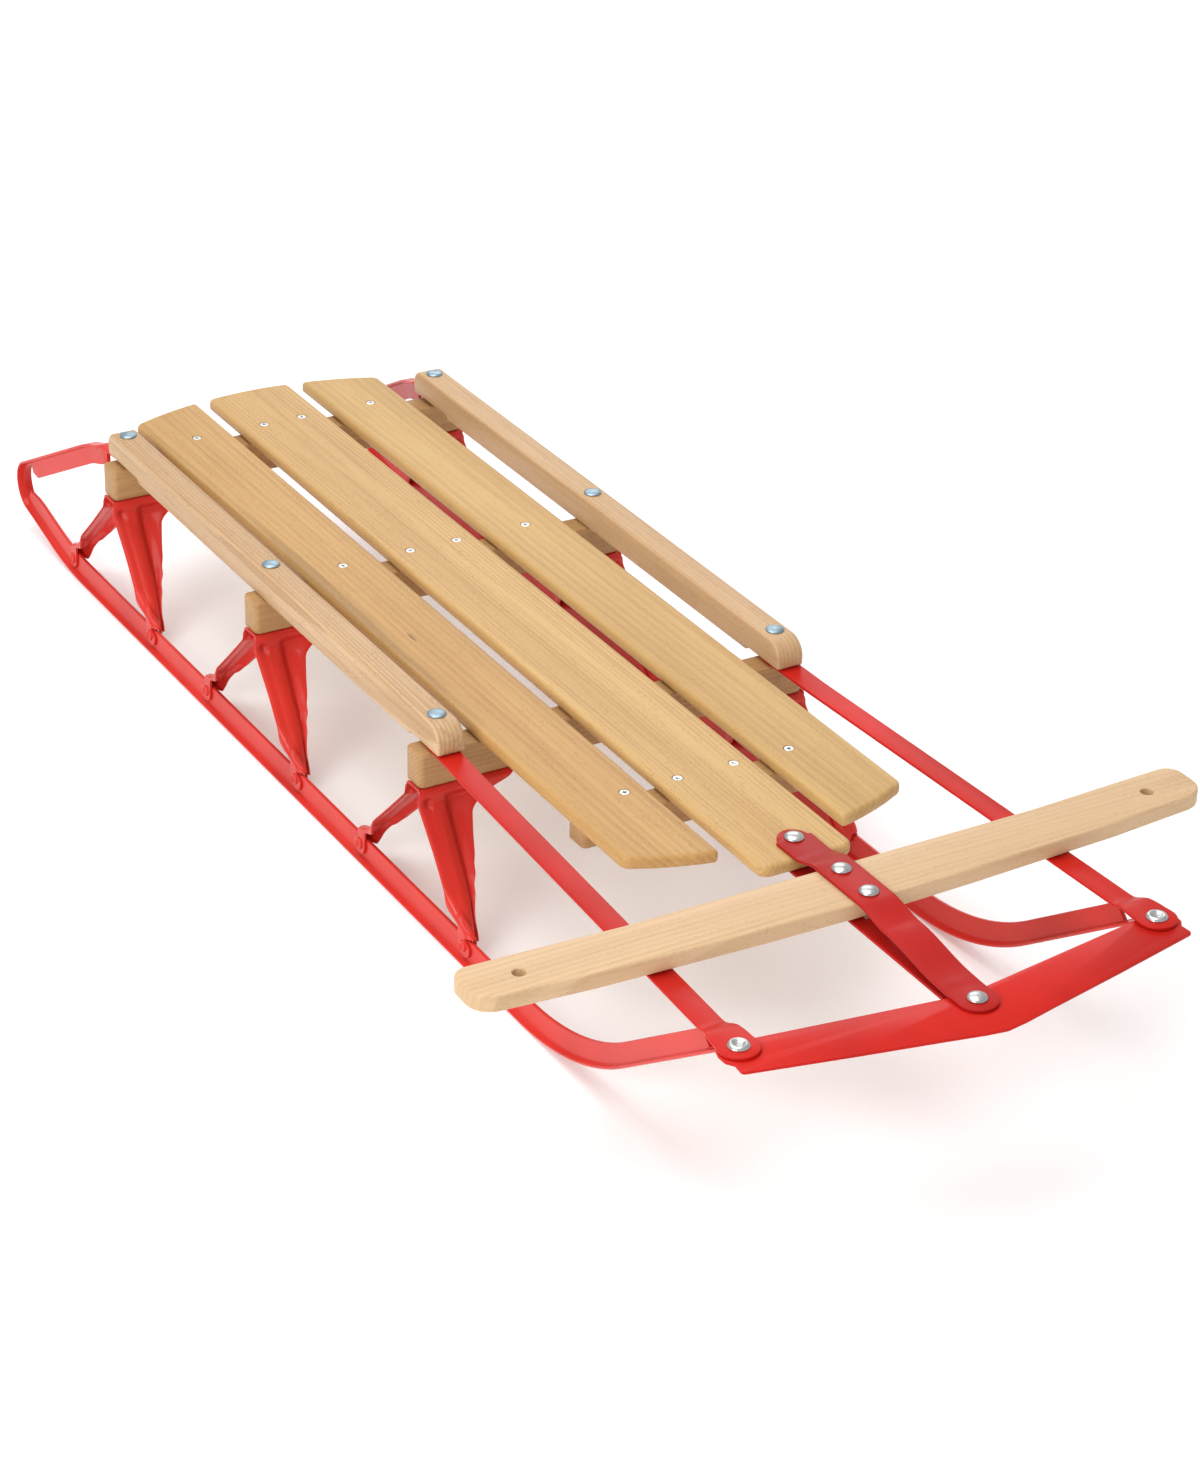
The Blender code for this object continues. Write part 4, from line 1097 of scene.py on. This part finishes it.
def make_floor():
    """A pale floor with a faint glow, clear when it is seen from below."""
    n = Nodes("studio_floor")
    place = n.add("ShaderNodeTexCoord").outputs["Object"]
    cloud = n.noise(place, 1.3, 2.0)
    colour = n.mix(cloud, (0.82, 0.825, 0.835), (0.85, 0.85, 0.855))
    n.shader.inputs["Emission Color"].default_value = (1.0, 1.0, 1.0, 1.0)
    n.shader.inputs["Emission Strength"].default_value = FLOOR_GLOW
    n.finish(colour, 0.75, n.bump(n.noise(place, 700.0, 2.0), 0.02, 0.0002))
    facing = n.add("ShaderNodeNewGeometry").outputs["Backfacing"]
    clear = n.add("ShaderNodeBsdfTransparent").outputs["BSDF"]
    output = n.tree.nodes["Material Output"]
    both = n.add("ShaderNodeMixShader", {0: facing, 1: n.shader.outputs["BSDF"], 2: clear})
    n.tree.links.new(both.outputs["Shader"], output.inputs["Surface"])
    r, z = FLOOR_REACH, FLOOR_LEVEL
    floor = mesh_object("floor", [(-r, -r, z), (r, -r, z), (r, r, z), (-r, r, z)], [(0, 1, 2, 3)],
                        n.material)
    if floor.data.polygons[0].normal.z < 0:
        floor.data.flip_normals()


def make_lights():
    world = bpy.data.worlds.new("studio")
    bpy.context.scene.world = world
    world.use_nodes = True
    back = world.node_tree.nodes["Background"]
    back.inputs["Color"].default_value = (1.0, 1.0, 1.0, 1.0)
    back.inputs["Strength"].default_value = WORLD_STRENGTH

    for name, where, size, watts, tint in LIGHTS:
        data = bpy.data.lights.new(name, "AREA")
        data.shape = "RECTANGLE"
        data.size, data.size_y = size
        data.energy = watts
        data.color = tint
        light = bpy.data.objects.new(name, data)
        light.location = where
        facing = Vector((0, 0, 0.05)) - Vector(where)
        light.rotation_euler = facing.to_track_quat("-Z", "Y").to_euler()
        bpy.context.scene.collection.objects.link(light)


CAMERA_RIGHT = (0.49887476, 0.86642724, 0.0206836)
CAMERA_UP = (-0.4234564, 0.22285762, 0.87807697)
CAMERA_BACK = (0.75618031, -0.44680903, 0.4780722)
CAMERA_PLACE = (2.09225, -1.1745, 1.3517)
CAMERA_LENS = 89.581


def make_camera():
    data = bpy.data.cameras.new("camera")
    data.sensor_width = 36.0
    data.lens = CAMERA_LENS
    data.clip_start = 0.05
    camera = bpy.data.objects.new("camera", data)
    turn = Matrix((CAMERA_RIGHT, CAMERA_UP, CAMERA_BACK)).transposed().to_4x4()
    camera.matrix_world = Matrix.Translation(CAMERA_PLACE) @ turn
    bpy.context.scene.collection.objects.link(camera)
    bpy.context.scene.camera = camera


def beech_looks():
    """Materials of the boards, the beams, the rails and the handlebar."""
    honey, umber = (0.50, 0.30, 0.125), (0.33, 0.165, 0.060)
    pale, tan = (0.70, 0.485, 0.285), (0.50, 0.31, 0.155)
    board_looks = {
        "middle": wood("beech_middle", (0.61, 0.390, 0.155), (0.395, 0.205, 0.066), (0.26, -0.06), 0.0030,
                       seed=1.0),
        "left": wood("beech_left", (0.58, 0.370, 0.138), (0.395, 0.210, 0.068), (0.42, -0.20), 0.0052,
                     seed=2.3, contrast=0.8),
        "right": wood("beech_right", (0.56, 0.330, 0.115), (0.375, 0.185, 0.055), (-0.36, -0.16), 0.0044,
                      seed=4.1, marks=(((-0.10, -0.106, 0.136), (0.24, 0.006, 0.01), 0.42),
                                       ((-0.02, -0.088, 0.136), (0.010, 0.0016, 0.006), 0.9))),
    }
    beam_looks = {
        name: wood("beech_" + name, honey, umber, (0.30 + 0.02 * k, -0.12), 0.0030, "Y", 5.0 + k, saw=0.25)
        for k, name in enumerate(("rear_bench", "middle_bench", "front_bench", "front_cleat"))
    }
    rail_looks = {
        "left": wood("beech_left_rail", (0.62, 0.415, 0.235), (0.42, 0.235, 0.100), (0.35, 0.12), 0.0034,
                     seed=7.7),
        "right": wood("beech_right_rail", (0.62, 0.42, 0.240), (0.385, 0.205, 0.085), (-0.36, 0.15), 0.0032,
                      seed=8.9, contrast=1.2),
    }
    handle_look = wood("beech_handle", pale, tan, (0.80, 0.10), 0.0050, "Y", 11.0, 0.8, saw=0.12)
    return board_looks, beam_looks, rail_looks, handle_look


def main():
    make_camera()
    make_floor()
    make_lights()
    bpy.context.scene.view_settings.view_transform = "Standard"

    board_looks, beam_looks, rail_looks, handle_look = beech_looks()
    # One red enamel in three copies: the knees' and runners' copy has a lighter base colour as painted light,
    # the links' copy a darker one as painted shade.
    red = enamel("red_paint", (0.58, 0.014, 0.008), coat=0.03)
    painted_light_red = enamel("red_paint_painted_light", (0.64, 0.032, 0.022), coat=0.30, seed=3.0)
    painted_shade_red = enamel("red_paint_painted_shade", (0.45, 0.012, 0.009), coat=0.03, seed=5.0)
    blue_zinc = plate("zinc_blue", (0.35, 0.45, 0.51), (0.27, 0.37, 0.43), 0.38)
    bright_zinc = plate("zinc_bright", (0.62, 0.62, 0.60), (0.48, 0.49, 0.50), 0.26)

    make_boards(board_looks, bright_zinc, screw_places())
    make_beams(beam_looks)
    make_rails(rail_looks)
    make_runners(painted_light_red)
    make_knees(painted_light_red)
    make_straps(red)
    make_bumper(red)
    make_handlebar(handle_look)
    make_links(painted_shade_red)
    make_rail_bolts(blue_zinc)
    make_link_bolts(bright_zinc)
    make_bumper_rivets(bright_zinc)


main()
